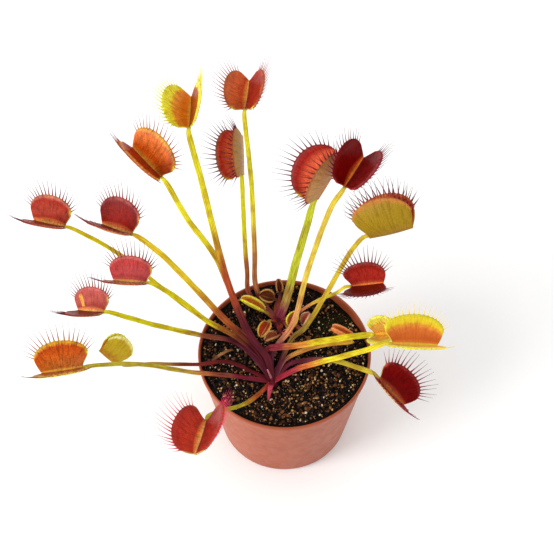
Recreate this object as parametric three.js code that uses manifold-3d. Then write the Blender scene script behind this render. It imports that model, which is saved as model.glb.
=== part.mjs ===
// Potted Venus flytrap: a small round nursery pot, its soil, two crowns and
// their leaves, each leaf a long flat petiole with a two-lobed trap at its end.
// Millimetres, +Z up, origin at the centre of the pot's underside.
// +Y points to the plant's back, +X to its right.
import * as THREE from 'three';
import { mergeVertices } from 'three/addons/utils/BufferGeometryUtils.js';
import Module from 'manifold-3d';

// Pot
const POT_HEIGHT = 69;
const RIM_RADIUS = 45;
const BASE_RADIUS = 34.5;
const FOOT_ROUND = 3;
const WALL = 0.9;
const LIP_DEPTH = 2.6;
const LIP_OUT = 0.4;
const FLOOR = 2.2;
const POT_SIDES = 48;
const DRAIN_HOLES = 6;
const DRAIN_RADIUS = 3.5;
const DRAIN_CIRCLE = 24;

// Soil
const SOIL_LEVEL = 65.6;
const SOIL_GAP = 0.3;
const SOIL_RINGS = 7;
const SOIL_SIDES = 36;
const LUMP = 0.4;
const BACK_RIGHT_DIP = 5;
const CROWN_HOLLOW = 1.4;
const EDGE_RISE = 1.5;

// Crowns, each standing in a plain hole in the soil
const MAIN_CROWN = [-6.3, -16.2, 66];
const SECOND_CROWN = [-3, 21, 66];
const CROWN_RADIUS = 3.6;
const CROWN_DEPTH = 13;
const CROWN_TOP = 1.4;
const HOLE_GAP = 0.5;
const SLIVER = 0.02;

// Leaves
const JOIN_GAP = 0.85;
const LOW_JOIN_GAP = 1;
const PETIOLE_STATIONS = 10;
const SHEATH_STATIONS = 3;
const EDGE_THICKNESS = 0.6;
const RIB_THICKNESS = 1.2;
const NECK_WIDTH = 1.8;
const NECK_LENGTH = 3;

// Traps. Fractions are of the trap's length or of its lobe's width
const EAR_BACK = 0.22;
const EAR_RISE = 0.5;
const TIP_PAST = 0.15;
const TIP_RISE = 0.44;
const RIM_ROUND = 1;
const KEEL = 1.1;
const LOBE_THICKNESS = 0.8;
const RIM_THICKNESS = 0.6;
const CILIUM_WIDTH = 0.6;

const group = new THREE.Group();

function randomFrom(seed) {
  let state = seed;
  return () => {
    state = (state * 1664525 + 1013904223) % 4294967296;
    return state / 4294967296;
  };
}

function vec(p) {
  return new THREE.Vector3(p[0], p[1], p[2]);
}

function addMesh(name, geometry, colour, roughness) {
  const material = new THREE.MeshStandardMaterial({ color: colour, roughness, metalness: 0 });
  const mesh = new THREE.Mesh(geometry, material);
  mesh.name = name;
  group.add(mesh);
  return mesh;
}

function closedGeometry(points, faces) {
  const geometry = new THREE.BufferGeometry();
  geometry.setAttribute('position', new THREE.Float32BufferAttribute(points.flat(), 3));
  geometry.setIndex(faces.flat());
  return geometry;
}

const wasm = await Module();
wasm.setup();

function toSolid(geometry) {
  const plain = geometry.clone();
  plain.deleteAttribute('normal');
  plain.deleteAttribute('uv');
  const merged = mergeVertices(plain, 1e-4);
  return new wasm.Manifold(new wasm.Mesh({
    numProp: 3,
    vertProperties: new Float32Array(merged.attributes.position.array),
    triVerts: new Uint32Array(merged.index.array),
  }));
}

function toGeometry(solid) {
  const mesh = solid.getMesh();
  const geometry = new THREE.BufferGeometry();
  geometry.setAttribute('position', new THREE.BufferAttribute(new Float32Array(mesh.vertProperties), 3));
  geometry.setIndex(new THREE.BufferAttribute(new Uint32Array(mesh.triVerts), 1));
  return geometry;
}

// A turned body: profile of [radius, height] from the axis, round and back to it
function turned(profile, sides) {
  const geometry = new THREE.LatheGeometry(profile.map(([r, z]) => new THREE.Vector2(r, z)), sides);
  geometry.rotateX(Math.PI / 2);
  return geometry;
}

function plug(radius, bottom, top, x, y, sides) {
  const geometry = new THREE.CylinderGeometry(radius, radius, top - bottom, sides);
  geometry.rotateX(Math.PI / 2);
  geometry.translate(x, y, (bottom + top) / 2);
  return geometry;
}

// Outer and inner radius of the pot wall at a height
function outerRadius(z) {
  return BASE_RADIUS + (RIM_RADIUS - LIP_OUT - BASE_RADIUS) * z / POT_HEIGHT;
}

function innerRadius(z) {
  return outerRadius(z) - WALL;
}

function makePot() {
  const foot = [0, 1, 2, 3].map((i) => {
    const a = (i / 3) * Math.PI / 2;
    return [
      outerRadius(FOOT_ROUND) - FOOT_ROUND + FOOT_ROUND * Math.sin(a),
      FOOT_ROUND - FOOT_ROUND * Math.cos(a),
    ];
  });
  const lipStart = POT_HEIGHT - LIP_DEPTH;
  const profile = [
    [0, 0],
    ...foot,
    [outerRadius(lipStart), lipStart],
    [RIM_RADIUS, lipStart + 0.5],
    [RIM_RADIUS, POT_HEIGHT - 0.5],
    [RIM_RADIUS - 0.5, POT_HEIGHT],
    [innerRadius(POT_HEIGHT) + 0.4, POT_HEIGHT],
    [innerRadius(POT_HEIGHT), POT_HEIGHT - 0.5],
    [innerRadius(FLOOR + 3), FLOOR + 3],
    [innerRadius(FLOOR) - 2, FLOOR],
    [0, FLOOR],
  ];
  let solid = toSolid(turned(profile, POT_SIDES));
  for (let i = 0; i < DRAIN_HOLES; i += 1) {
    const a = (i + 0.5) * 2 * Math.PI / DRAIN_HOLES;
    const x = DRAIN_CIRCLE * Math.cos(a);
    const y = DRAIN_CIRCLE * Math.sin(a);
    solid = solid.subtract(toSolid(plug(DRAIN_RADIUS, -1, FLOOR + 1, x, y, 16)));
  }
  return toGeometry(solid);
}

// Height of the soil's surface: lumpy, a little mounded to the front, low at the back right
function soilHeight(x, y) {
  const lumps = Math.sin(0.43 * x + 1.3) * Math.cos(0.37 * y - 0.6)
    + 0.7 * Math.sin(0.21 * x - 0.52 * y + 2.1);
  const fromDip = Math.hypot(x - 27, y - 20);
  const dip = BACK_RIGHT_DIP * Math.exp(-(fromDip ** 2) / 220);
  const front = 1.2 * Math.exp(-((y + 30) ** 2) / 260);
  const hollow = [MAIN_CROWN, SECOND_CROWN].reduce((sum, crown) => (
    sum + Math.exp(-((x - crown[0]) ** 2 + (y - crown[1]) ** 2) / 110)), 0);
  const edge = EDGE_RISE * (Math.hypot(x, y) / innerRadius(SOIL_LEVEL)) ** 4;
  return SOIL_LEVEL + LUMP * lumps + front + edge - dip - CROWN_HOLLOW * hollow;
}

function makeSoil() {
  const rings = [];
  const edge = innerRadius(SOIL_LEVEL) - SOIL_GAP;
  const points = [[0, 0, soilHeight(0, 0)]];
  const faces = [];
  for (let ring = 1; ring <= SOIL_RINGS; ring += 1) {
    rings.push(points.length);
    for (let i = 0; i < SOIL_SIDES; i += 1) {
      const a = (i * 2 * Math.PI) / SOIL_SIDES;
      const r = (edge * ring) / SOIL_RINGS;
      const x = r * Math.cos(a);
      const y = r * Math.sin(a);
      const z = soilHeight(x, y);
      const fit = ring === SOIL_RINGS ? (innerRadius(z) - SOIL_GAP - 0.1) / r : 1;
      points.push([x * fit, y * fit, z]);
    }
  }
  const lower = [
    [innerRadius(FLOOR + 4) - SOIL_GAP - 0.1, FLOOR + 4],
    [innerRadius(FLOOR) - 2.5, FLOOR + SOIL_GAP],
  ];
  for (const [r, z] of lower) {
    rings.push(points.length);
    for (let i = 0; i < SOIL_SIDES; i += 1) {
      const a = (i * 2 * Math.PI) / SOIL_SIDES;
      points.push([r * Math.cos(a), r * Math.sin(a), z]);
    }
  }
  const bottom = points.length;
  points.push([0, 0, FLOOR + SOIL_GAP]);
  for (let i = 0; i < SOIL_SIDES; i += 1) {
    const j = (i + 1) % SOIL_SIDES;
    faces.push([0, rings[0] + i, rings[0] + j]);
    for (let k = 0; k + 1 < rings.length; k += 1) {
      faces.push([rings[k] + i, rings[k + 1] + i, rings[k + 1] + j]);
      faces.push([rings[k] + i, rings[k + 1] + j, rings[k] + j]);
    }
    const last = rings[rings.length - 1];
    faces.push([bottom, last + j, last + i]);
  }
  let solid = toSolid(closedGeometry(points, faces));
  for (const [x, y, z] of [MAIN_CROWN, SECOND_CROWN]) {
    const hole = plug(CROWN_RADIUS + HOLE_GAP, z - CROWN_DEPTH - HOLE_GAP, z + 20, x, y, 20);
    solid = solid.subtract(toSolid(hole));
  }
  return toGeometry(solid);
}

// A leaf's centre line from its crown to its trap, which it meets along the midrib
function leafCurve(leaf) {
  const crown = vec(leaf.crown);
  const base = vec(leaf.base);
  const along = midribDirection(leaf);
  const neck = base.clone().addScaledVector(along, -NECK_LENGTH);
  const points = [crown, ...leaf.path.map(vec), neck, base];
  return new THREE.CatmullRomCurve3(points, false, 'centripetal');
}

function midribDirection(leaf) {
  const h = THREE.MathUtils.degToRad(leaf.heading);
  const p = THREE.MathUtils.degToRad(leaf.pitch);
  return new THREE.Vector3(Math.cos(p) * Math.cos(h), Math.cos(p) * Math.sin(h), Math.sin(p));
}

// A flat, slightly channelled blade swept along part of a curve.
// widthAt gives its full width at a distance from the crown.
function blade(curve, from, to, stations, sideways, widthAt) {
  const length = curve.getLength();
  const points = [];
  const faces = [];
  const half = EDGE_THICKNESS / 2;
  for (let i = 0; i <= stations; i += 1) {
    const distance = from + ((to - from) * i) / stations;
    const t = Math.min(1, distance / length);
    const centre = curve.getPointAt(t);
    const tangent = curve.getTangentAt(t);
    const side = sideways.clone().addScaledVector(tangent, -sideways.dot(tangent)).normalize();
    const up = tangent.clone().cross(side);
    if (up.z <= 0.05) {
      up.negate();
    }
    const w = widthAt(distance) / 2;
    const fold = 0.16 * w;
    const section = [
      [-w, fold + half], [0, 0.45], [w, fold + half],
      [w, fold - half], [0, 0.45 - RIB_THICKNESS], [-w, fold - half],
    ];
    for (const [s, u] of section) {
      const p = centre.clone().addScaledVector(side, s).addScaledVector(up, u);
      points.push([p.x, p.y, p.z]);
    }
  }
  const n = 6;
  for (let i = 0; i < stations; i += 1) {
    for (let k = 0; k < n; k += 1) {
      const a = i * n + k;
      const b = i * n + ((k + 1) % n);
      faces.push([a, b, b + n]);
      faces.push([a, b + n, a + n]);
    }
  }
  const end = stations * n;
  for (let k = 2; k <= 5; k += 1) {
    const next = (k + 1) % n;
    faces.push([1, next, k]);
    faces.push([end + 1, end + k, end + next]);
  }
  return outward(closedGeometry(points, faces));
}

// Turns a closed geometry's faces outward if its volume comes out negative
function outward(geometry) {
  const p = geometry.attributes.position;
  const index = geometry.index.array;
  let volume = 0;
  for (let i = 0; i < index.length; i += 3) {
    const [a, b, c] = [index[i], index[i + 1], index[i + 2]].map(
      (k) => new THREE.Vector3().fromBufferAttribute(p, k));
    volume += a.dot(b.cross(c));
  }
  if (volume < 0) {
    for (let i = 0; i < index.length; i += 3) {
      [index[i + 1], index[i + 2]] = [index[i + 2], index[i + 1]];
    }
  }
  return geometry;
}

// Width of a petiole: broad low down, then even, then drawn in to the neck under the trap
function petioleWidth(leaf, length) {
  return (distance) => {
    const share = distance / length;
    const body = leaf.wide[0] + (leaf.wide[1] - leaf.wide[0]) * share;
    const left = length - distance;
    const neck = Math.min(1, Math.max(0, (left - 1) / (NECK_LENGTH + 3)));
    return NECK_WIDTH + (body - NECK_WIDTH) * Math.sqrt(neck);
  };
}

function planSide(leaf) {
  const dx = leaf.base[0] - leaf.crown[0];
  const dy = leaf.base[1] - leaf.crown[1];
  const size = Math.hypot(dx, dy);
  return new THREE.Vector3(-dy / size, dx / size, 0);
}

function makePetiole(leaf) {
  const curve = leafCurve(leaf);
  const length = curve.getLength();
  const end = length - JOIN_GAP;
  const width = petioleWidth(leaf, length);
  return blade(curve, leaf.sheath + JOIN_GAP, end, PETIOLE_STATIONS, planSide(leaf), width);
}

function makeSheath(leaf) {
  const curve = leafCurve(leaf);
  const width = petioleWidth(leaf, curve.getLength());
  return blade(curve, 0.5, leaf.sheath, SHEATH_STATIONS, planSide(leaf), width);
}

// A short strip along its own path, drawn in to a share of its width at the far end
function makeStrip(strip, stations, tipShare) {
  const curve = new THREE.CatmullRomCurve3(strip.path.map(vec), false, 'centripetal');
  const length = curve.getLength();
  const ahead = curve.getPointAt(1).sub(curve.getPointAt(0));
  const side = new THREE.Vector3(-ahead.y, ahead.x, 0).normalize();
  const width = (distance) => strip.wide * (1 - (1 - tipShare) * (distance / length) ** 2);
  return blade(curve, 0, length, stations, side, width);
}

// The soft core that a crown's leaf bases clasp, leaning from its bulb to a point
function makeCore(core) {
  const ahead = vec(core.to).sub(vec(core.from));
  const reach = ahead.length();
  const profile = [[0, -core.wide], [core.wide, 0], [0.65 * core.wide, reach], [0, reach + 0.5 * core.wide]];
  const geometry = turned(profile, 12);
  const lean = new THREE.Quaternion().setFromUnitVectors(new THREE.Vector3(0, 0, 1), ahead.normalize());
  geometry.applyQuaternion(lean);
  geometry.translate(core.from[0], core.from[1], core.from[2]);
  return geometry;
}

// A crown: a small bulb with the clasping bases of its leaves grown together
function makeCrown(place, leaves, sprouts, core) {
  const profile = [
    [0, -CROWN_DEPTH], [0.6 * CROWN_RADIUS, 1 - CROWN_DEPTH], [0.9 * CROWN_RADIUS, -8],
    [CROWN_RADIUS, -3], [0.85 * CROWN_RADIUS, -0.6], [0.5 * CROWN_RADIUS, CROWN_TOP - 0.5], [0, CROWN_TOP],
  ];
  const bulb = turned(profile, 14);
  bulb.translate(place[0], place[1], place[2]);
  let solid = toSolid(bulb);
  for (const leaf of leaves) {
    solid = solid.add(toSolid(makeSheath(leaf)));
  }
  for (const sprout of sprouts) {
    solid = solid.add(toSolid(makeStrip(sprout, 5, 0.3)));
  }
  if (core) {
    solid = solid.add(toSolid(makeCore(core)));
  }
  return toGeometry(solid.simplify(SLIVER));
}

// Faces between two rows of points whose places along the trap are given in at
function zip(faces, rowA, atA, rowB, atB, flip) {
  let i = 0;
  let j = 0;
  while (i + 1 < rowA.length || j + 1 < rowB.length) {
    const stepA = i + 1 < rowA.length
      && (j + 1 >= rowB.length || atA[i + 1] <= atB[j + 1]);
    const face = stepA ? [rowA[i], rowA[i + 1], rowB[j]] : [rowA[i], rowB[j + 1], rowB[j]];
    faces.push(flip ? [face[0], face[2], face[1]] : face);
    if (stepA) {
      i += 1;
    } else {
      j += 1;
    }
  }
}

// The middle surface of one lobe. u runs along the midrib and v from midrib to rim,
// hand is 1 for the left lobe and -1 for the right.
function lobePoint(trap, hand, u, v) {
  const rad = THREE.MathUtils.degToRad;
  const turn = (u - 0.5) * Math.PI;
  const past = trap.ends * (turn < 0 ? EAR_BACK : TIP_PAST);
  const low = trap.ends * (turn < 0 ? EAR_RISE : TIP_RISE);
  const rimAlong = trap.length * (0.5 + (0.5 + past) * Math.sin(turn));
  const rimOut = trap.width * (low + (1 - low) * Math.max(0, Math.cos(turn)) ** RIM_ROUND);
  const fan = (1 - u) * v * v * (3 - 2 * v) + u * v ** 0.8;
  const along = u * trap.length + (rimAlong - u * trap.length) * fan;
  const out = rimOut * v;
  const start = rad(trap.open / 2 + trap.bow / 2);
  const bend = Math.max(rad(trap.bow), 1e-4);
  const rise = (Math.sin(start) - Math.sin(start - bend * v)) / (bend * Math.max(v, 1e-4));
  const spread = (Math.cos(start - bend * v) - Math.cos(start)) / (bend * Math.max(v, 1e-4));
  const curl = rad(trap.curl) * (Math.min(1, Math.max(0, u)) - 0.5);
  const sag = trap.length * Math.sin(rad(trap.curl) / 2) * u * (1 - u);
  const m = trap.m.clone().multiplyScalar(Math.cos(curl)).addScaledVector(trap.o, Math.sin(curl));
  const o = trap.o.clone().multiplyScalar(Math.cos(curl)).addScaledVector(trap.m, -Math.sin(curl));
  const point = trap.at.clone()
    .addScaledVector(trap.m, u * trap.length)
    .addScaledVector(trap.o, -sag)
    .addScaledVector(m, along - u * trap.length)
    .addScaledVector(o, out * rise)
    .addScaledVector(trap.l, hand * out * spread);
  return { point, m, o, turn, tip: start - bend * v };
}

function lobeNormal(trap, hand, u, v) {
  const e = 0.02;
  const here = lobePoint(trap, hand, u, v).point;
  const ahead = lobePoint(trap, hand, u + e, v).point.sub(here);
  const up = lobePoint(trap, hand, u, v + e).point.sub(here);
  const normal = ahead.cross(up).normalize();
  const inside = trap.l.clone().multiplyScalar(-hand);
  return normal.dot(inside) < 0 ? normal.negate() : normal;
}

// A whole trap: two thin lobes joined along the midrib, with a cilium raised from
// every second stretch of each rim
function makeTrap(leaf, seed) {
  const m = midribDirection(leaf);
  const level = new THREE.Vector3(-m.y, m.x, 0).normalize();
  const straightUp = m.clone().cross(level);
  const r = THREE.MathUtils.degToRad(leaf.roll);
  const o = straightUp.clone().multiplyScalar(Math.cos(r)).addScaledVector(level, Math.sin(r));
  const l = level.clone().multiplyScalar(Math.cos(r)).addScaledVector(straightUp, -Math.sin(r));
  const trap = { ...leaf, m, o, l, at: vec(leaf.base) };
  const random = randomFrom(seed);
  const points = [];
  const faces = [];
  const put = (p) => {
    points.push([p.x, p.y, p.z]);
    return points.length - 1;
  };
  const coarse = [];
  for (let i = 0; i <= leaf.columns; i += 1) {
    coarse.push(i / leaf.columns);
  }
  const arc = Math.PI * 0.5 * ((0.5 + EAR_BACK) * leaf.length + (1 - EAR_RISE) * leaf.width);
  const half = CILIUM_WIDTH / arc / 2;
  const fine = [0];
  for (let i = 0; i < leaf.cilia; i += 1) {
    const middle = (i + 0.5) / leaf.cilia;
    fine.push(middle - half, middle + half);
  }
  fine.push(1);
  const midInner = coarse.map((u) => put(lobePoint(trap, 1, u, 0).point.addScaledVector(o, 0.25)));
  const midOuter = coarse.map((u) => put(lobePoint(trap, 1, u, 0).point.addScaledVector(o, -KEEL)));
  for (const hand of [1, -1]) {
    const inner = [midInner];
    const outer = [midOuter];
    const at = [coarse];
    for (const v of [...leaf.rows, 1]) {
      const places = v === 1 ? fine : coarse;
      const thickness = LOBE_THICKNESS + (RIM_THICKNESS - LOBE_THICKNESS) * v;
      const rowIn = [];
      const rowOut = [];
      for (const u of places) {
        const p = lobePoint(trap, hand, u, v).point;
        const n = lobeNormal(trap, hand, u, v);
        rowIn.push(put(p.clone().addScaledVector(n, thickness / 2)));
        rowOut.push(put(p.clone().addScaledVector(n, -thickness / 2)));
      }
      inner.push(rowIn);
      outer.push(rowOut);
      at.push(places);
    }
    const left = hand === 1;
    for (let k = 0; k + 1 < inner.length; k += 1) {
      zip(faces, inner[k], at[k], inner[k + 1], at[k + 1], !left);
      zip(faces, outer[k], at[k], outer[k + 1], at[k + 1], left);
      for (const end of [0, -1]) {
        const quad = [inner[k].at(end), outer[k].at(end), outer[k + 1].at(end), inner[k + 1].at(end)];
        if (left === (end === 0)) {
          quad.reverse();
        }
        faces.push([quad[0], quad[1], quad[2]], [quad[0], quad[2], quad[3]]);
      }
    }
    const rimIn = inner.at(-1);
    const rimOut = outer.at(-1);
    for (let i = 0; i + 1 < fine.length; i += 1) {
      const quad = [rimIn[i], rimIn[i + 1], rimOut[i + 1], rimOut[i]];
      if (!left) {
        quad.reverse();
      }
      if (i % 2 === 0) {
        faces.push([quad[0], quad[1], quad[2]], [quad[0], quad[2], quad[3]]);
        continue;
      }
      const u = (fine[i] + fine[i + 1]) / 2;
      const here = lobePoint(trap, hand, u, 1);
      const lean = here.tip - THREE.MathUtils.degToRad(leaf.lean);
      const outDirection = here.o.clone().multiplyScalar(Math.cos(lean))
        .addScaledVector(trap.l, hand * Math.sin(lean));
      const spreadAlong = 0.8 * Math.sin(here.turn) + 0.1 * (random() - 0.5);
      const direction = here.m.clone().multiplyScalar(spreadAlong)
        .addScaledVector(outDirection, Math.cos(here.turn) + 0.35)
        .normalize();
      const size = leaf.cilium * (0.62 + 0.38 * Math.cos(here.turn)) * (0.94 + 0.12 * random());
      const tip = put(here.point.clone().addScaledVector(direction, size));
      for (let k = 0; k < 4; k += 1) {
        faces.push([quad[k], quad[(k + 1) % 4], tip]);
      }
    }
  }
  return outward(closedGeometry(points, faces));
}

// Leaves. base is where petiole and trap meet; heading is the midrib's direction in
// plan (0 is +X, 90 is +Y), pitch its rise, roll tips the trap to its left, open is the
// angle between the lobes and bow how much they close in towards the rim, in degrees.
const OPEN_TRAP = {
  bow: 8, curl: 12, lean: 4, cilia: 13, cilium: 10.2, columns: 6, rows: [0.3, 0.68],
  ends: 1, sheath: 15,
};
const mainLeaves = [
  {
    base: [-111.3, 43.3, 120],
    path: [[-12.2, -4.6, 69.5], [-24.7, 6.8, 71.5], [-40.3, 13.8, 77], [-59, 24, 86], [-86, 36.4, 107]],
    wide: [2.8, 2.3], heading: 159, pitch: -10, roll: 2.5, open: 71, length: 18.2, width: 15.5,
    stalk: 0xa8a030, colour: 0xb4402f,
  },
  {
    base: [-77.7, 41.4, 116],
    path: [[-10.6, -6.2, 73.6], [-19, 2.6, 77.4], [-29, 7.1, 86], [-45, 19.5, 98], [-63, 33.4, 110]],
    wide: [4, 3], heading: 148, pitch: -15, roll: 0.5, open: 70, length: 19.8, width: 17.4,
    bow: 13, stalk: 0xb87038, colour: 0x9a3030,
  },
  {
    base: [-69.9, 17.9, 107],
    path: [[-11.4, -6.1, 71.8], [-24.6, 4.4, 76.2], [-40, 10.1, 83], [-53.6, 17, 92]],
    wide: [3.2, 2.8], heading: 164, pitch: -16, roll: -2.5, open: 78, length: 18.6, width: 13.7,
    stalk: 0xa6a834, colour: 0xc05058,
  },
  {
    base: [-92.7, 12.5, 88],
    path: [[-13, -6.4, 67.8], [-24.8, 5.4, 69], [-44.5, 6.6, 75], [-68.2, 9.2, 81]],
    wide: [3, 2.8], heading: 157, pitch: -27, roll: 1.5, open: 88, length: 17.9, width: 13,
    stalk: 0xa8a040, colour: 0xb4585c,
  },
  {
    base: [-99.5, -25.9, 98], path: [[-27, -15, 70], [-46, -17, 77], [-75, -19.5, 90]],
    wide: [2.8, 2.4], heading: 185, pitch: -8, roll: -3, open: 77, length: 20.7, width: 15.5,
    stalk: 0xa8a03a, colour: 0xc86a28,
  },
  {
    base: [-83.7, -14.8, 84],
    path: [[-17.8, -10.9, 68.2], [-29.3, -6.4, 69.4], [-44.5, -9.7, 72.6], [-67.6, -12.5, 78]],
    wide: [2.4, 2], heading: 167, pitch: 53, roll: -52, open: 10, length: 13, width: 12.5,
    bow: 34, stalk: 0x7a2c28, colour: 0xb8b040, young: true,
  },
  {
    base: [-38.7, -46.9, 82], path: [[-17, -30, 71.5], [-24, -36, 75.5], [-31, -40, 79.5]],
    wide: [2.6, 2.4], heading: 260, pitch: 22, roll: -14, open: 98, length: 24.7, width: 15.9,
    stalk: 0x9a8a38, colour: 0xa83028,
  },
  {
    base: [-61.3, 54.9, 146],
    path: [[-9.8, -4.9, 70.3], [-17.9, 6.2, 72.8], [-24, 15, 84], [-35, 32.7, 107.5], [-49, 43.3, 127]],
    wide: [3.6, 2.8], heading: 132, pitch: 7, roll: 2, open: 62, length: 22.5, width: 17.5,
    bow: 5, stalk: 0xb08a3a, colour: 0xd06c34,
  },
  {
    base: [-47.5, 74.9, 160],
    path: [[-8.9, -7.3, 75], [-16.7, 0.5, 82], [-27, 15.5, 101], [-32.7, 27.8, 118], [-41.3, 54.4, 142]],
    wide: [3.8, 3], heading: 89, pitch: -2, roll: 15, open: 66, length: 20.7, width: 17.4,
    stalk: 0xb0a838, colour: 0xd0b02c,
  },
  {
    base: [30.1, 54.8, 138], path: [[-6.5, -3.7, 72], [4.2, 6.5, 86], [11.9, 27, 105], [23.8, 50.4, 128]],
    wide: [3, 2.8], heading: 63, pitch: -4, roll: -8, open: 73, length: 22.5, width: 16.6,
    stalk: 0xc0a040, colour: 0x7a181c,
  },
  {
    base: [43.2, 43.4, 112], path: [[4.3, 5.3, 74], [10.5, 7.8, 80], [22.3, 22.1, 93], [34.6, 38.7, 106]],
    wide: [2.8, 2.6], heading: -5, pitch: 29, roll: 40, open: 25, length: 24, width: 20,
    bow: 49, stalk: 0xb4ac38, colour: 0xa89238,
  },
  {
    base: [53.6, -11.9, 97],
    path: [[5.9, -11.8, 71], [14.9, -12.5, 78], [28.4, -13.1, 86], [41.4, -12.5, 92]],
    wide: [3.4, 3.2], heading: 1, pitch: -6, roll: 7, open: 82, length: 22.7, width: 15.8,
    bow: 4, cilium: 6.5, stalk: 0xc8b434, colour: 0xd8922c,
  },
  {
    base: [45.8, 0.2, 86],
    path: [[-8.5, -11, 69.4], [-10.2, -5.4, 72], [-8.6, -2.2, 75.4], [-4, -3, 78.4], [5.9, -4.2, 82],
      [19.5, -2.6, 84], [33.3, -1.4, 86]],
    wide: [3.6, 3.8], heading: -11, pitch: 26, roll: -19, open: 72, length: 11.6, width: 11.4,
    bow: 20, stalk: 0xd0c838, colour: 0xd4c030, young: true, sheath: 17.5,
  },
  {
    base: [47.1, -25.7, 86],
    path: [[2.8, -7.2, 68.8], [14.7, -6.3, 71.5], [23.3, -8.4, 75], [39.4, -18.6, 83]],
    wide: [3, 2.6], heading: -37, pitch: -31, roll: 10, open: 80, length: 18.4, width: 14.5,
    stalk: 0xb0a038, colour: 0x6e1216,
  },
  {
    base: [33.2, 4.6, 75], path: [[0.4, -5, 69.4], [9.3, -0.4, 70.4], [20, 2.4, 71.6]],
    wide: [2.8, 2.4], heading: 156, pitch: 16, roll: -6, open: 30, length: 9.5, width: 5,
    stalk: 0x9a5058, colour: 0xd08058, young: true, cilia: 5, cilium: 0.9,
  },
];
const secondLeaves = [
  {
    base: [-19.9, 86.7, 160],
    path: [[-10, 28.5, 68.4], [-15, 35.5, 76], [-15.6, 44.9, 97], [-17.2, 67.6, 128]],
    wide: [2.8, 2.4], heading: 84, pitch: -1, roll: 9, open: 88, length: 19.4, width: 13.9,
    stalk: 0xa8a03c, colour: 0xbc4434,
  },
  {
    base: [-21.9, 69.3, 130],
    path: [[-11, 26.6, 68], [-18.8, 33.5, 73], [-19.7, 40.5, 83], [-20.7, 49.5, 95]],
    wide: [2.6, 2.4], heading: 92, pitch: 22, roll: 42, open: 39, length: 20.4, width: 14.9,
    stalk: 0xa8a63c, colour: 0xa02c24,
  },
  {
    base: [16.2, 58.9, 123], path: [[1, 28, 75], [6, 40, 92], [11, 50, 108]],
    wide: [5, 3.6], heading: 49, pitch: 43, roll: 32, open: 58, length: 25, width: 19.6, ends: 0.7,
    bow: 5, stalk: 0x98aa36, colour: 0xc85a44,
  },
  {
    base: [34.3, 22.9, 96], path: [[5, 21, 71], [15, 23, 80], [27, 23, 90]],
    wide: [2.2, 2.2], heading: -2, pitch: 14, roll: -12, open: 85, length: 16.4, width: 12.8,
    stalk: 0xc0b43a, colour: 0x9c2220,
  },
];
const YOUNG_TRAP = { bow: 50, curl: 20, lean: 10, cilia: 8, cilium: 1.6, columns: 5 };

// Small and withered leaves low in the second rosette, on short stalks
const SMALL_TRAP = {
  bow: 40, curl: 20, lean: 0, cilia: 5, cilium: 1.4, columns: 4, rows: [0.5], ends: 0.45,
  sheath: 0, wide: [2, 1.8],
};
const smallLeaves = [
  {
    base: [-11.5, 23.7, 71.6], path: [[-7.5, 22, 69]], heading: 156, pitch: 14, roll: 0, open: 34,
    length: 12.5, width: 5.5, colour: 0xb8b040, cilium: 2.6, cilia: 7,
  },
  {
    base: [-8.8, 16, 70.3], path: [[-6, 19, 68.8]], heading: 247, pitch: 8, roll: 0, open: 70,
    length: 9, width: 4.5, colour: 0xc06038,
  },
  {
    base: [-6.5, 30.5, 72.5], path: [[-4.8, 26.5, 69.5]], heading: 175, pitch: 22, roll: 20, open: 64,
    length: 7, width: 5.6, colour: 0x8a5430,
  },
  {
    base: [-2.6, 34, 75.4], path: [[-3, 27.4, 70.2]], heading: 100, pitch: 55, roll: 0, open: 40,
    length: 6, width: 3.8, colour: 0x85583c,
  },
  {
    base: [3.8, 14.7, 71.5], path: [[0.4, 17.5, 68.7]], heading: 60, pitch: 45, roll: 0, open: 60,
    length: 7.5, width: 5, colour: 0xb8803c,
  },
  {
    base: [10.3, 15.4, 71.4], path: [[3.4, 18.6, 68.7]], heading: 50, pitch: 45, roll: 20, open: 60,
    length: 6.5, width: 4, colour: 0xd89078,
  },
  {
    base: [-0.5, 11.4, 69.4], path: [[-1.4, 16, 68.6]], heading: -30, pitch: 8, roll: 0, open: 44,
    length: 5.5, width: 3, colour: 0x8c2c30,
  },
  {
    base: [-4.4, 9.2, 69.4], path: [[-3.2, 15.5, 68.4]], heading: 215, pitch: 18, roll: 0, open: 54,
    length: 7, width: 4.4, colour: 0xb07048,
  },
];

// Two leaves just opening from the main crown, still pointed sprouts
const SPROUTS = [
  { path: [[-6.4, -17, 66.4], [-7.4, -22, 69.4], [-8.3, -28, 68.3]], wide: 3 },
  { path: [[-6.3, -16, 67], [-7.4, -15.5, 71.5], [-8.7, -14.4, 75.5]], wide: 1.5 },
];

// The core of the main crown, inside the bundle of its leaf bases
const MAIN_CORE = { from: [-6.3, -16, 66.6], to: [-9, -9.6, 71.7], wide: 2.2 };

// A withered petiole lying on the soil
const WITHERED = {
  path: [[-37.5, -5, 68.2], [-33.5, -2, 69], [-29.5, 0.4, 69], [-26.8, 1.6, 68.4]],
  wide: 1.8,
};

addMesh('pot', makePot(), 0xc07458, 0.55);
addMesh('soil', makeSoil(), 0x2e2018, 0.95);

mainLeaves.forEach((leaf) => Object.assign(leaf, { crown: MAIN_CROWN }));
[...secondLeaves, ...smallLeaves].forEach((leaf) => Object.assign(leaf, { crown: SECOND_CROWN }));
const bigLeaves = [...mainLeaves, ...secondLeaves].map((leaf) => (
  { ...OPEN_TRAP, ...(leaf.young ? YOUNG_TRAP : {}), ...leaf }
));
const lowLeaves = smallLeaves.map((leaf) => {
  const whole = { ...SMALL_TRAP, ...leaf };
  return { ...whole, sheath: leafCurve(whole).getLength() - LOW_JOIN_GAP };
});

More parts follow.
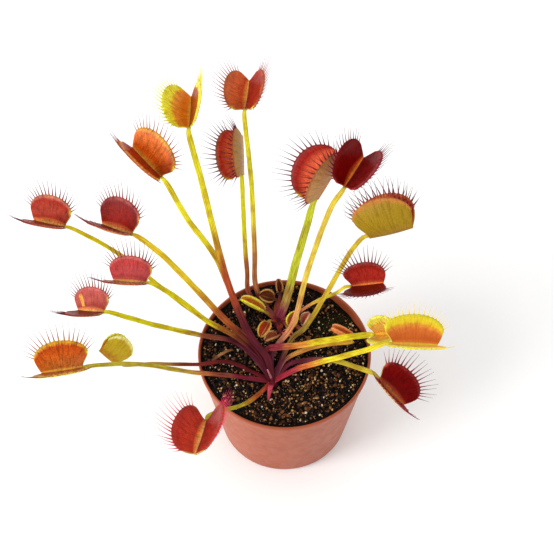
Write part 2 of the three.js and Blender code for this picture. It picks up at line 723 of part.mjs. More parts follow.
const ofMain = bigLeaves.filter((leaf) => leaf.crown === MAIN_CROWN);
const ofSecond = bigLeaves.filter((leaf) => leaf.crown === SECOND_CROWN);
addMesh('main_crown', makeCrown(MAIN_CROWN, ofMain, SPROUTS, MAIN_CORE), 0x6a2834, 0.5);
addMesh('second_crown', makeCrown(SECOND_CROWN, [...ofSecond, ...lowLeaves], [], null), 0x7a3a38, 0.5);
addMesh('withered_petiole', makeStrip(WITHERED, 7, 0.7), 0x9a7048, 0.7);

bigLeaves.forEach((leaf, i) => {
  addMesh(`petiole_${i + 1}`, makePetiole(leaf), leaf.stalk, 0.45);
  addMesh(`trap_${i + 1}`, makeTrap(leaf, 11 * (i + 1)), leaf.colour, 0.42);
});
lowLeaves.forEach((leaf, i) => {
  addMesh(`small_trap_${i + 1}`, makeTrap(leaf, 500 + 7 * i), leaf.colour, 0.5);
});

export default group;
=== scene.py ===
"""Potted Venus flytrap: the looks of the pot, soil, leaf stalks and traps.

Metres, +Z up, origin at the centre of the pot's underside, +Y to the plant's back.
The tables give millimetres, as the part's own drawing does.
"""
import math
import random

import bmesh
import bpy
from mathutils import Matrix, Vector, noise


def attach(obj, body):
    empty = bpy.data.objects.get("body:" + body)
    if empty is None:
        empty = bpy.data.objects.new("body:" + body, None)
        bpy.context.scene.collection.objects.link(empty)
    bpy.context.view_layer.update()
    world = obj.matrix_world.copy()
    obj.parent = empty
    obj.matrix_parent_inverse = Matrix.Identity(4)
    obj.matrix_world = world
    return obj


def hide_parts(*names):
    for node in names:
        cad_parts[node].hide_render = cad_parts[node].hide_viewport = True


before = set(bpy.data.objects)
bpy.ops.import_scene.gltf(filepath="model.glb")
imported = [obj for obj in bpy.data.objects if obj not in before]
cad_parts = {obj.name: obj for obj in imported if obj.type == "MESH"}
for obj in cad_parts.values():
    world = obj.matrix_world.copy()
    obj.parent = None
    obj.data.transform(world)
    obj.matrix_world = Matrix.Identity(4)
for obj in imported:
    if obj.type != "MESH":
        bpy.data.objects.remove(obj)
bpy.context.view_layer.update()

MM = 0.001

# Pot, in mm
POT_HEIGHT = 69.0
RIM_RADIUS = 45.0
BASE_RADIUS = 34.5
FOOT_ROUND = 3.0
WALL = 0.9
LIP_DEPTH = 2.6
LIP_OUT = 0.4
FLOOR = 2.2
POT_STEPS = 144
DRAIN_HOLES = 6
DRAIN_RADIUS = 3.5
DRAIN_CIRCLE = 24.0

# Soil, in mm; a spread is the square of the distance over which a mound or a hollow fades, and
# roughness is (height, scale)
SOIL_LEVEL = 65.6
SOIL_GAP = 0.3
LUMP = 0.4
LUMPS_PER_MM = (0.43, 0.37, 0.21, 0.52)
BACK_RIGHT_DIP = 5.0
DIP_PLACE = (27, 20)
DIP_SPREAD = 220
FRONT_MOUND = 1.2
FRONT_PLACE = -30
FRONT_SPREAD = 260
CROWN_HOLLOW = 1.4
CROWN_SPREAD = 110
EDGE_RISE = 1.5
SOIL_GRID = 120
ROUGH_COARSE = (0.55, 0.75)
ROUGH_FINE = (0.35, 1.7)
CRUMBS = 3200
GRAINS = 3000
CLEAR_EDGE = 1.3
FULL_TURN = 6.28  # radians

# Where water stands on the soil, in metres, and how fast its green fades
WATER_PLACE = (0.027, 0.018, 0.061)
WATER_FADE = 60.0

# Crowns and leaf stalks, in mm
MAIN_CROWN = (-6.3, -16.2, 66.0)
SECOND_CROWN = (-3.0, 21.0, 66.0)
CROWN_RADIUS = 3.6
CROWN_DEPTH = 13.0
CROWN_TOP = 1.4
CROWN_STEPS = 28
NECK_LENGTH = 3.0
NECK_WIDTH = 1.8
EDGE_THICKNESS = 0.6
RIB_THICKNESS = 1.2
CHANNEL = 0.16
RIPPLE = 0.16
WAVES_PER_MM = 0.42
BLADE_SIDES = 16
BLADE_STEP = 1.6
STALK_START = 0.5
STALK_STOP = 0.1

# Traps: thicknesses and lengths in mm, the rest as shares of the trap's length or of its lobe's width
EAR_BACK = 0.22
EAR_RISE = 0.5
TIP_PAST = 0.15
TIP_RISE = 0.44
RIM_ROUND = 1.0
LOBE_THICKNESS = 0.75
KEEL = 1.1
KEEL_SHARE = 0.14
MIDRIB_RISE = 0.25
MIDRIB_SHARE = 0.05
MARGIN_START = 0.86
CREASE = 0.012
SCALLOP = 0.014
TOOTH_ROOT = 0.7
TOOTH_POINT = 0.34
TOOTH_FLAT = 0.6
END_TOOTH = 0.62
FAN_OUT = 0.8
TRIGGER_LENGTH = 1.5
TRIGGER_WIDTH = 0.09

# Finishes
WHITE = 0xffffff
BLACK = 0x000000
DEEPEN = 1.06
TRAP_SHINE = 0.08
STALK_SHINE = 0.12
LIGHT_THROUGH = 0.45
LIGHT_REACH = 0.003
LIGHT_SHARES = (1.0, 0.45, 0.25)

# Studio: the camera as fitted to the photograph, 554 pixels wide, with its focal length in
# pixels; lights are (name, place, size, power)
PHOTO_WIDTH = 554
PHOTO_FOCUS = 1400
SENSOR = 36.0
CAMERA_PLACE = (-0.0039, -0.3702, 0.6964)
CAMERA_DOWN = 56.4
NEAREST = 0.01
GROUND_SIZE = 4.0
GROUND_WHITE = 0.95
SKY_STRENGTH = 0.95
AIM_HEIGHT = 0.1
LIGHTS = [("key", (-1.5, -0.7, 0.9), 0.9, 25), ("front", (0.2, -1.6, 1.2), 0.9, 2)]


# Materials

def grey(value):
    return (value, value, value, 1.0)


def colour_of(value):
    """A colour from its red, green and blue code, deepened for the bright white studio."""
    if not isinstance(value, int):
        return value

    def linear(channel):
        share = channel / 255
        return (share / 12.92 if share <= 0.04045 else ((share + 0.055) / 1.055) ** 2.4) ** DEEPEN
    return (linear(value >> 16), linear(value >> 8 & 255), linear(value & 255), 1.0)


def start_material(name, roughness, shine=0.5):
    """A new material, its node tree and its surface shader."""
    material = bpy.data.materials.new(name)
    material.use_nodes = True
    tree = material.node_tree
    shader = tree.nodes["Principled BSDF"]
    shader.inputs["Roughness"].default_value = roughness
    shader.inputs["Specular IOR Level"].default_value = shine
    return material, tree, shader


def add(tree, kind, **values):
    """A node with its sockets and settings given by name."""
    made = tree.nodes.new(kind)
    for key, value in values.items():
        if key in made.inputs:
            made.inputs[key].default_value = value
        else:
            setattr(made, key, value)
    return made


def feed(tree, socket, value):
    """Gives a socket a number or a colour, or another node's output."""
    if isinstance(value, (int, float, tuple)):
        socket.default_value = value
    else:
        tree.links.new(value, socket)


def maths(tree, operation, *values):
    """One step of arithmetic on sockets or numbers."""
    step = add(tree, "ShaderNodeMath", operation=operation)
    for socket, value in zip(step.inputs, values):
        feed(tree, socket, value)
    return step.outputs[0]


def nudged(tree, value, source, amount):
    """A value moved up and down by a noise."""
    return maths(tree, "ADD", value, maths(tree, "MULTIPLY", maths(tree, "SUBTRACT", source, 0.5), amount))


def ramp(tree, source, stops, ease="EASE"):
    """Colours along a 0 to 1 value: stops are (place, colour), a colour as a code or in shares."""
    made = add(tree, "ShaderNodeValToRGB")
    made.color_ramp.interpolation = ease
    elements = made.color_ramp.elements
    while len(elements) < len(stops):
        elements.new(0.5)
    for element, (place, colour) in zip(elements, stops):
        element.position = place
        element.color = colour_of(colour)
    tree.links.new(source, made.inputs["Fac"])
    return made.outputs["Color"]


def blend_colours(tree, share, first, second, how="MIX"):
    """Second over first by a share that is a number or a socket."""
    mix = add(tree, "ShaderNodeMix", data_type="RGBA", blend_type=how)
    for place, value in ((0, share), (6, colour_of(first)), (7, colour_of(second))):
        feed(tree, mix.inputs[place], value)
    return mix.outputs[2]


def speckle(tree, scale, detail=3.0, stretch=None, source="Object", roughness=0.55):
    """Noise on the piece's own coordinates, stretched along them if asked."""
    coords = add(tree, "ShaderNodeTexCoord")
    vector = coords.outputs[source]
    if stretch:
        mapping = add(tree, "ShaderNodeMapping", Scale=stretch)
        tree.links.new(vector, mapping.inputs["Vector"])
        vector = mapping.outputs["Vector"]
    made = add(tree, "ShaderNodeTexNoise", Scale=scale, Detail=detail, Roughness=roughness)
    tree.links.new(vector, made.inputs["Vector"])
    return made.outputs["Fac"]


def paint(tree, shader, colour, height=None, strength=0.0, distance=0.0):
    """Colours the surface, and raises it by a height socket if there is one; distance in metres."""
    tree.links.new(colour, shader.inputs["Base Color"])
    if height is not None:
        made = add(tree, "ShaderNodeBump", Strength=strength, Distance=distance)
        tree.links.new(height, made.inputs["Height"])
        tree.links.new(made.outputs["Normal"], shader.inputs["Normal"])


def uv_places(tree):
    """The two places that a leaf piece's UV map holds."""
    coords = add(tree, "ShaderNodeTexCoord")
    split = add(tree, "ShaderNodeSeparateXYZ")
    tree.links.new(coords.outputs["UV"], split.inputs[0])
    return split.outputs[0], split.outputs[1]


def let_light_through(shader):
    """Lobes are thin and juicy, so light from behind glows through them."""
    shader.inputs["Subsurface Weight"].default_value = LIGHT_THROUGH
    shader.inputs["Subsurface Radius"].default_value = LIGHT_SHARES
    shader.inputs["Subsurface Scale"].default_value = LIGHT_REACH


def leaf_grain(tree, along_scale, across_scale):
    """Fine streaks that run from a lobe's midrib to its rim, as its veins do."""
    return speckle(tree, 1.0, 4, (along_scale, across_scale, 1.0), "UV", 0.65)


def shaded(tree, colour, share, source, low, high, dark):
    """A colour darkened where a noise is low."""
    return blend_colours(tree, share, colour, ramp(tree, source, [(low, dark), (high, WHITE)]), "MULTIPLY")


def lobe_inside(name, look):
    """The inside of a trap's lobes: bright midrib, glowing band, red body, coloured margin and ears.
    The glowing band is partly the lobe's own orange and partly painted light shining through it, and the
    body is partly its own red and partly a painted sheen.
    """
    material, tree, shader = start_material(name, 0.36, look["shine"])
    let_light_through(shader)
    along, across = uv_places(tree)
    streak = leaf_grain(tree, 42.0, 2.4)
    soft = speckle(tree, 300)
    fine = speckle(tree, 2300)
    uneven = nudged(tree, nudged(tree, 0.0, streak, 0.24), soft, 0.12)
    calm = ramp(tree, across, [(0.03, BLACK), (0.3, WHITE)])
    shifted = maths(tree, "ADD", across, maths(tree, "MULTIPLY", uneven, calm))
    margin = 1 - look["margin_width"]
    # Painted light: the glow stop is partly light shining through the lobe, and the body stop partly a
    # painted sheen.
    body = ramp(tree, shifted, [
        (0.0, look["midrib"]), (0.055, look["midrib"]), (0.12, look["glow"]), (0.23, look["low"]),
        (0.52, look["body"]), (max(0.56, margin - 0.1), look["deep"]),
        (min(0.98, margin + 0.03), look["margin"]),
    ])
    # Painted shade: darker and more purple towards the base end of the lobe.
    heel = ramp(tree, along, [(0.05, 0xb08292), (0.45, WHITE)])
    body = blend_colours(tree, look["heel"], body, heel, "MULTIPLY")
    if "fold_place" in look:
        off = maths(tree, "ABSOLUTE", maths(tree, "SUBTRACT", along, look["fold_place"]))
        line = ramp(tree, off, [(0.03, WHITE), (0.055, BLACK)])
        reach = ramp(tree, across, [(0.16, BLACK), (0.26, WHITE), (0.72, WHITE), (0.84, BLACK)])
        body = blend_colours(tree, maths(tree, "MULTIPLY", line, reach), body, FOLD)
    near_base = ramp(tree, along, [(0.0, WHITE), (0.16, BLACK)])
    outward = ramp(tree, across, [(0.62, BLACK), (0.9, WHITE)])
    body = blend_colours(tree, maths(tree, "MULTIPLY", near_base, outward), body, look["ear"])
    body = shaded(tree, body, look["grain"], streak, 0.34, 0.56, 0xa08e8e)
    body = shaded(tree, body, 0.8 * look["grain"], fine, 0.34, 0.6, 0x928080)
    body = shaded(tree, body, 0.6 * look["grain"], soft, 0.34, 0.62, 0xb8a8a8)
    height = maths(tree, "ADD", maths(tree, "MULTIPLY", streak, 1.6), fine)
    paint(tree, shader, body, height, 0.4, 0.00025)
    return material


def lobe_outside(name, look):
    """The back of a trap's lobes: green to tan with faint veins, warmer towards the rim."""
    material, tree, shader = start_material(name, 0.45, TRAP_SHINE)
    let_light_through(shader)
    _, across = uv_places(tree)
    streak = leaf_grain(tree, 34.0, 2.0)
    fine = speckle(tree, 2000)
    shifted = nudged(tree, nudged(tree, across, speckle(tree, 300), 0.2), streak, 0.1)
    colour = ramp(tree, shifted, [
        (0.0, look["back_low"]), (0.35, look["back"]), (0.78, look["back"]), (0.97, look["back_rim"]),
    ])
    colour = shaded(tree, colour, 0.5, streak, 0.36, 0.56, 0xbeb096)
    colour = shaded(tree, colour, 0.5, fine, 0.34, 0.6, 0xb4a892)
    paint(tree, shader, colour, maths(tree, "ADD", streak, fine), 0.3, 0.0002)
    return material


def cilia_finish(name, look):
    """Teeth of the fringe, from the rim's colour to a dark or pale point."""
    material, tree, shader = start_material(name, 0.45, TRAP_SHINE)
    shifted = nudged(tree, uv_places(tree)[1], speckle(tree, 1800, 2), 0.2)
    colour = ramp(tree, shifted, [(0.0, look["root"]), (0.25, look["tooth"]), (1.0, look["point"])])
    paint(tree, shader, colour)
    return material


def stalk_finish(name, low, middle, high, turn_low, turn_high):
    """A leaf stalk, maroon at the crown and green at the trap, streaked along its length."""
    material, tree, shader = start_material(name, 0.4, STALK_SHINE)
    streak = speckle(tree, 1.0, 4, (22.0, 9.0, 1.0), "UV")
    blotch = speckle(tree, 130, 2)
    shifted = nudged(tree, nudged(tree, uv_places(tree)[1], streak, 0.14), blotch, 0.1)
    colour = ramp(tree, shifted, [
        (0.0, low), (max(0.03, turn_low - 0.08), low), (turn_low + 0.1, middle), (turn_high, high),
        (1.0, high),
    ])
    colour = shaded(tree, colour, 0.9, streak, 0.38, 0.58, 0xb08c78)
    colour = shaded(tree, colour, 0.5, blotch, 0.36, 0.6, 0xc8a096)
    paint(tree, shader, colour, streak, 0.35, 0.0003)
    return material


def pot_finish():
    """Smooth moulded plastic, with a faint mottle and a few rubbed smudges."""
    material, tree, shader = start_material("pot_plastic", 0.42, 0.3)
    smudge = speckle(tree, 240)
    colour = ramp(tree, speckle(tree, 60, 4), [(0.3, 0x9c4c2b), (0.7, 0xa45331)])
    rubbed = ramp(tree, smudge, [(0.7, BLACK), (0.85, grey(0.15))])
    colour = blend_colours(tree, rubbed, colour, 0xc28268)
    rough = ramp(tree, smudge, [(0.3, grey(0.38)), (0.75, grey(0.52))])
    tree.links.new(rough, shader.inputs["Roughness"])
    paint(tree, shader, colour, speckle(tree, 1500, 2), 0.12, 0.0001)
    return material


def soil_finish():
    """Damp dark peat, slightly green where water stands at the back right."""
    material, tree, shader = start_material("peat", 0.9, 0.15)
    grain = speckle(tree, 900, 6)
    colour = ramp(tree, grain, [(0.35, 0x040201), (0.58, 0x0e0805), (0.76, 0x321e12)])
    coords = add(tree, "ShaderNodeTexCoord")
    away = add(tree, "ShaderNodeVectorMath", operation="DISTANCE")
    tree.links.new(coords.outputs["Object"], away.inputs[0])
    away.inputs[1].default_value = WATER_PLACE
    faded = maths(tree, "MULTIPLY", away.outputs["Value"], WATER_FADE)
    near = ramp(tree, faded, [(0.1, grey(0.6)), (0.8, BLACK)])
    patch = maths(tree, "MULTIPLY", near, speckle(tree, 500))
    colour = blend_colours(tree, patch, colour, 0x3e5416)
    paint(tree, shader, colour, grain, 0.8, 0.0006)
    return material


def crumb_finish(name, roughness, shades):
    """Loose bits, each with its own shade from the first place of its UV map."""
    material, tree, shader = start_material(name, roughness, 0.2)
    fine = speckle(tree, 1600)
    colour = ramp(tree, uv_places(tree)[0], shades, "LINEAR")
    colour = shaded(tree, colour, 0.7, fine, 0.3, 0.65, 0x82786e)
    paint(tree, shader, colour, fine, 0.5, 0.0003)
    return material


# Shared shapes

def mesh_of(name, bm):
    """Turns a bmesh into a mesh."""
    mesh = bpy.data.meshes.new(name)
    bm.to_mesh(mesh)
    bm.free()
    return mesh


def show(name, data):
    """Puts a mesh, a light or a camera in the scene."""
    shown = bpy.data.objects.new(name, data)
    bpy.context.scene.collection.objects.link(shown)
    return shown


def put_in_scene(name, bm, materials, nodes=()):
    """Makes a finished piece of a bmesh; it rides on the one body."""
    mesh = mesh_of(name, bm)
    for material in materials:
        mesh.materials.append(material)
    mesh.polygons.foreach_set("use_smooth", [True] * len(mesh.polygons))
    piece = show(name, mesh)
    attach(piece, "root")
    if nodes:
        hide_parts(*nodes)
    return piece


def smooth_route(points, count=240):
    """Even steps along a centripetal spline through points in mm: [(distance, point)]."""
    points = [Vector(p) for p in points]
    ends = [points[0] * 2 - points[1], *points, points[-1] * 2 - points[-2]]
    raw = []
    spans = len(points) - 1
    for k in range(count + 1):
        at = min(spans - 1, int(k * spans / count))
        weight = k * spans / count - at
        p0, p1, p2, p3 = ends[at:at + 4]
        first, middle, last = (max(1e-4, (b - a).length ** 0.5) for a, b in ((p0, p1), (p1, p2), (p2, p3)))
        t1 = ((p1 - p0) / first - (p2 - p0) / (first + middle) + (p2 - p1) / middle) * middle
        t2 = ((p2 - p1) / middle - (p3 - p1) / (middle + last) + (p3 - p2) / last) * middle
        c2 = -3 * p1 + 3 * p2 - 2 * t1 - t2
        c3 = 2 * p1 - 2 * p2 + t1 + t2
        raw.append(p1 + t1 * weight + c2 * weight ** 2 + c3 * weight ** 3)
    route = [(0.0, raw[0])]
    for point in raw[1:]:
        route.append((route[-1][0] + (point - route[-1][1]).length, point))
    return route


def on_route(route, distance):
    """Point and direction at a distance along a route."""
    for (d0, a), (d1, b) in zip(route, route[1:]):
        if distance <= d1 or d1 == route[-1][0]:
            share = (distance - d0) / (d1 - d0)
            return a.lerp(b, share), (b - a).normalized()


def round_blank(sides, cuts, top_radius=1.0):
    """A capped unit tube along Z, cut across into short stretches, to be swept or bent."""
    bm = bmesh.new()
    bmesh.ops.create_cone(bm, cap_ends=True, cap_tris=True, segments=sides, radius1=1.0, radius2=top_radius,
                          depth=1.0)
    upright = [e for e in bm.edges if abs(e.verts[0].co.z - e.verts[1].co.z) > 0.5]
    bmesh.ops.subdivide_edges(bm, edges=upright, cuts=cuts)
    return bm


def turned(section, steps, merge):
    """A half section of (radius, height) turned round the Z axis."""
    bm = bmesh.new()
    verts = [bm.verts.new((r, 0, z)) for r, z in section]
    edges = [bm.edges.new(pair) for pair in zip(verts, verts[1:])]
    bmesh.ops.spin(bm, geom=verts + edges, cent=(0, 0, 0), axis=(0, 0, 1), angle=2 * math.pi, steps=steps,
                   use_merge=True)
    bmesh.ops.remove_doubles(bm, verts=bm.verts, dist=merge)
    return bm


def leaf_marks(bm):
    """Two layers on the vertices that later fill the UV map."""
    return bm.verts.layers.float.new("place_a"), bm.verts.layers.float.new("place_b")


def fill_uv(bm, marks):
    uv = bm.loops.layers.uv.new("places")
    for face in bm.faces:
        for loop in face.loops:
            loop[uv].uv = (loop.vert[marks[0]], loop.vert[marks[1]])


# Pot and soil

def outer_radius(z):
    return BASE_RADIUS + (RIM_RADIUS - LIP_OUT - BASE_RADIUS) * z / POT_HEIGHT


def inner_radius(z):
    return outer_radius(z) - WALL


def pot_section():
    """The pot's half section in mm, as (radius, height)."""
    foot = []
    for i in range(7):
        turn = i / 6 * math.pi / 2
        foot.append((outer_radius(FOOT_ROUND) - FOOT_ROUND + FOOT_ROUND * math.sin(turn),
                     FOOT_ROUND - FOOT_ROUND * math.cos(turn)))
    lip = POT_HEIGHT - LIP_DEPTH
    inside = inner_radius(POT_HEIGHT)
    return [
        (0, 0), *foot, (outer_radius(lip) - 0.02, lip - 0.1), (outer_radius(lip) + 0.1, lip),
        (RIM_RADIUS - 0.1, lip + 0.4), (RIM_RADIUS, lip + 0.7), (RIM_RADIUS, POT_HEIGHT - 0.7),
        (RIM_RADIUS - 0.15, POT_HEIGHT - 0.25), (RIM_RADIUS - 0.5, POT_HEIGHT), (inside + 0.5, POT_HEIGHT),
        (inside + 0.1, POT_HEIGHT - 0.2), (inside, POT_HEIGHT - 0.6), (inner_radius(FLOOR + 3), FLOOR + 3),
        (inner_radius(FLOOR) - 2, FLOOR), (0, FLOOR),
    ]


def make_pot():
    """The pot turned from its section, with its drain holes cut through the floor."""
    bm = turned([(r * MM, z * MM) for r, z in pot_section()], POT_STEPS, 1e-6)
    bmesh.ops.recalc_face_normals(bm, faces=bm.faces)
    pot = put_in_scene("pot_body", bm, [pot_finish()], ["pot"])
    drill = bmesh.new()
    for i in range(DRAIN_HOLES):
        turn = (i + 0.5) * 2 * math.pi / DRAIN_HOLES
        place = Matrix.Translation((DRAIN_CIRCLE * MM * math.cos(turn), DRAIN_CIRCLE * MM * math.sin(turn),
                                    FLOOR * MM / 2))
        bmesh.ops.create_cone(drill, cap_ends=True, segments=32, radius1=DRAIN_RADIUS * MM,
                              radius2=DRAIN_RADIUS * MM, depth=(FLOOR + 2) * MM, matrix=place)
    cutter = show("drain_drill", mesh_of("drain_drill", drill))
    cut = pot.modifiers.new("drains", "BOOLEAN")
    cut.operation = "DIFFERENCE"
    cut.object = cutter
    cut.solver = "EXACT"
    bpy.context.view_layer.update()
    drilled = bpy.data.meshes.new_from_object(pot.evaluated_get(bpy.context.evaluated_depsgraph_get()))
    pot.modifiers.clear()
    pot.data = drilled
    bpy.data.objects.remove(cutter)
    shading = pot.modifiers.new("soft_normals", "WEIGHTED_NORMAL")
    shading.keep_sharp = True


def fade(x, y, place, spread):
    """1 at a place on the soil, falling to 0 round it."""
    return math.exp(-((x - place[0]) ** 2 + (y - place[1]) ** 2) / spread)


def soil_height(x, y):
    """Height of the soil's surface in mm: lumpy, mounded to the front, low at the back right."""
    a, b, c, d = LUMPS_PER_MM
    lumps = math.sin(a * x + 1.3) * math.cos(b * y - 0.6) + 0.7 * math.sin(c * x - d * y + 2.1)
    dip = BACK_RIGHT_DIP * fade(x, y, DIP_PLACE, DIP_SPREAD)
    front = FRONT_MOUND * math.exp(-((y - FRONT_PLACE) ** 2) / FRONT_SPREAD)
    hollow = sum(fade(x, y, crown, CROWN_SPREAD) for crown in (MAIN_CROWN, SECOND_CROWN))
    edge = EDGE_RISE * (math.hypot(x, y) / inner_radius(SOIL_LEVEL)) ** 4
    return SOIL_LEVEL + LUMP * lumps + front + edge - dip - CROWN_HOLLOW * hollow


def square_to_disc(a, b):
    """A place in the square of side 2 moved to the round of radius 1."""
    return a * math.sqrt(1 - b * b / 2), b * math.sqrt(1 - a * a / 2)


def make_soil():
    """The body of peat with a rough top, down to the pot's floor."""
    bm = bmesh.new()
    bmesh.ops.create_grid(bm, x_segments=SOIL_GRID, y_segments=SOIL_GRID, size=1.0)
    edge = inner_radius(SOIL_LEVEL + 1) - SOIL_GAP
    for vert in bm.verts:
        a, b = square_to_disc(vert.co.x, vert.co.y)
        x, y = a * edge, b * edge
        z = soil_height(x, y)
        reach = math.hypot(a, b)
        if reach < 0.985:
            for layer, (height, scale) in ((0, ROUGH_COARSE), (9, ROUGH_FINE)):
                z += height * noise.noise(Vector((x, y, layer)) * scale)
        elif reach > 0.999:
            fit = (inner_radius(z) - SOIL_GAP) / edge / reach
            x, y = x * fit, y * fit
        vert.co = Vector((x, y, z)) * MM
    lowered = [e for e in bm.edges if e.is_boundary]
    for level, inset in ((FLOOR + 4, 0.0), (FLOOR + SOIL_GAP, 2.2)):
        made = bmesh.ops.extrude_edge_only(bm, edges=lowered)["geom"]
        verts = [g for g in made if isinstance(g, bmesh.types.BMVert)]
        lowered = [g for g in made if isinstance(g, bmesh.types.BMEdge) and g.is_boundary]
        radius = inner_radius(level) - SOIL_GAP - 0.1 - inset
        for vert in verts:
            flat = Vector((vert.co.x, vert.co.y)).normalized() * radius
            vert.co = Vector((flat.x, flat.y, level)) * MM
    bmesh.ops.edgeloop_fill(bm, edges=lowered)
    bmesh.ops.recalc_face_normals(bm, faces=bm.faces)
    put_in_scene("soil_body", bm, [soil_finish()], ["soil"])


def scatter(name, count, seed, sizes, front_pull, sunk, material):
    """Loose bits of 20 faces each, spread over the soil and half sunk in it."""
    rng = random.Random(seed)
    smallest, more, rarity = sizes
    ball = bmesh.new()
    bmesh.ops.create_icosphere(ball, subdivisions=1, radius=1.0)
    blank = mesh_of("bit_blank", ball)
    bm = bmesh.new()
    marks = leaf_marks(bm)
    done = 0
    while done < count:
        turn = rng.uniform(0, 2 * math.pi)
        reach = math.sqrt(rng.random()) * (inner_radius(SOIL_LEVEL) - CLEAR_EDGE)
        x, y = reach * math.cos(turn), reach * math.sin(turn)
        if rng.random() > 1 - front_pull * (0.5 + y / 90):
            continue
        size = smallest + more * rng.random() ** rarity
        if min(math.hypot(x - c[0], y - c[1]) for c in (MAIN_CROWN, SECOND_CROWN)) < CROWN_RADIUS + size:
            continue
        done += 1
        shade = rng.random()
        start = len(bm.verts)
        bm.from_mesh(blank)
        bm.verts.ensure_lookup_table()
        spin = Matrix.Rotation(rng.uniform(0, FULL_TURN), 3, "Z")
        spin = spin @ Matrix.Rotation(rng.uniform(0, FULL_TURN), 3, "X")
        squeeze = Vector((rng.uniform(0.7, 1.15), rng.uniform(0.6, 1.0), rng.uniform(0.5, 0.9)))
        place = Vector((x, y, soil_height(x, y) + size * (0.5 - sunk)))
        for k in range(start, len(bm.verts)):
            vert = bm.verts[k]
            own = vert.co * rng.uniform(0.8, 1.15)
            own = spin @ Vector((own.x * squeeze.x, own.y * squeeze.y, own.z * squeeze.z))
            vert.co = (place + own * size) * MM
            vert[marks[0]] = shade
    fill_uv(bm, marks)
    put_in_scene(name, bm, [material])


# Leaves

def midrib_direction(leaf):
    heading, pitch = math.radians(leaf["heading"]), math.radians(leaf["pitch"])
    level = math.cos(pitch)
    return Vector((level * math.cos(heading), level * math.sin(heading), math.sin(pitch)))


def leaf_route(leaf):
    """The leaf's centre line from its crown to its trap."""
    base = Vector(leaf["base"])
    neck = base - midrib_direction(leaf) * NECK_LENGTH
    return smooth_route([leaf["crown"], *leaf["path"], neck, base])


def blade_frame(route, distance, sideways):
    """Centre, side and up of a blade at a distance along its route."""
    centre, tangent = on_route(route, distance)
    side = (sideways - tangent * sideways.dot(tangent)).normalized()
    up = tangent.cross(side)
    if up.z <= 0.05:
        up = -up
    return centre, side, up


def sweep_blade(route, start, end, cuts, sideways, width_at, ripple, seed):
    """A channelled blade with rounded edges and a keel, swept along a stretch of a route."""
    bm = round_blank(BLADE_SIDES, cuts)
    marks = leaf_marks(bm)
    length = route[-1][0]
    frames = {}
    for vert in bm.verts:
        across, upward, along = vert.co
        share = round(along + 0.5, 4)
        distance = start + (end - start) * share
        if share not in frames:
            frames[share] = blade_frame(route, distance, sideways)
        centre, side, up = frames[share]
        half = width_at(distance) / 2
        reach = abs(across)
        wave = ripple * math.sin(distance * WAVES_PER_MM + seed + (1.7 if across > 0 else 0)) * reach ** 3
        rise = CHANNEL * half * reach ** 1.4 + wave
        middle = 1 - reach ** 2
        if upward >= 0:
            rise += (EDGE_THICKNESS / 2) * upward + 0.1 * middle * math.hypot(across, upward)
        else:
            rise += (RIB_THICKNESS - 0.55) * middle * upward + (EDGE_THICKNESS / 2) * upward * (1 - middle)
        vert[marks[0]] = 0.5 + 0.5 * across
        vert[marks[1]] = distance / length
        vert.co = (centre + side * (across * half) + up * rise) * MM
    bmesh.ops.recalc_face_normals(bm, faces=bm.faces)
    fill_uv(bm, marks)
    return bm


def petiole_width(leaf, length):
    """Full width of a petiole at a distance from the crown, drawn in to the neck under its trap."""
    def width(distance):
        share = distance / length
        body = leaf["wide"][0] + (leaf["wide"][1] - leaf["wide"][0]) * share
        neck = min(1.0, max(0.0, (length - distance - 1) / (NECK_LENGTH + 3)))
        return NECK_WIDTH + (body - NECK_WIDTH) * math.sqrt(neck)
    return width


def make_petiole(name, leaf, number, finish, nodes):
    """A leaf stalk from inside its crown to just short of its trap."""
    route = leaf_route(leaf)
    length = route[-1][0]
    dx, dy = leaf["base"][0] - leaf["crown"][0], leaf["base"][1] - leaf["crown"][1]
    side = Vector((-dy, dx, 0)).normalized()
    bm = sweep_blade(route, STALK_START, length - STALK_STOP, max(6, int(length / BLADE_STEP)), side,
                     petiole_width(leaf, length), RIPPLE, number)
    put_in_scene(name, bm, [finish], nodes)


def make_strip(name, path, wide, tip_share, finish, nodes, seed):
    """A short strip along its own path, narrowing to its far end."""
    route = smooth_route(path)
    length = route[-1][0]
    ahead = route[-1][1] - route[0][1]
    side = Vector((-ahead.y, ahead.x, 0)).normalized()

    def width(distance):
        return wide * (1 - (1 - tip_share) * (distance / length) ** 2)
    bm = sweep_blade(route, 0.0, length, 18, side, width, 0.05, seed)
    put_in_scene(name, bm, [finish], nodes)


def make_bulb(name, place, finish, nodes):
    """The short bulb under a rosette, turned from its half section."""
    section = [
        (0, -CROWN_DEPTH), (0.35 * CROWN_RADIUS, 0.4 - CROWN_DEPTH), (0.6 * CROWN_RADIUS, 1 - CROWN_DEPTH),
        (0.9 * CROWN_RADIUS, -8), (CROWN_RADIUS, -5), (CROWN_RADIUS, -3), (0.93 * CROWN_RADIUS, -1.6),
        (0.85 * CROWN_RADIUS, -0.6), (0.5 * CROWN_RADIUS, CROWN_TOP - 0.5),
        (0.2 * CROWN_RADIUS, CROWN_TOP - 0.1), (0, CROWN_TOP),
    ]
    bm = turned(section, CROWN_STEPS, 1e-5)
    marks = leaf_marks(bm)
    for vert in bm.verts:
        x, y, z = vert.co
        turn = math.atan2(y, x)
        swell = 1 + 0.05 * math.sin(5 * turn + 0.4 * z)
        vert[marks[0]] = 0.5 + turn / (2 * math.pi)
        vert.co = Vector((x * swell + place[0], y * swell + place[1], z + place[2])) * MM
    bmesh.ops.recalc_face_normals(bm, faces=bm.faces)
    fill_uv(bm, marks)
    put_in_scene(name, bm, [finish], nodes)


# Traps

def trap_axes(leaf):
    """The trap's own directions: along the midrib, out of its mouth and to its left."""
    ahead = midrib_direction(leaf)
    level = Vector((-ahead.y, ahead.x, 0)).normalized()
    straight_up = ahead.cross(level)
    roll = math.radians(leaf["roll"])
    mouth = straight_up * math.cos(roll) + level * math.sin(roll)
    left = level * math.cos(roll) - straight_up * math.sin(roll)
    return ahead, mouth, left


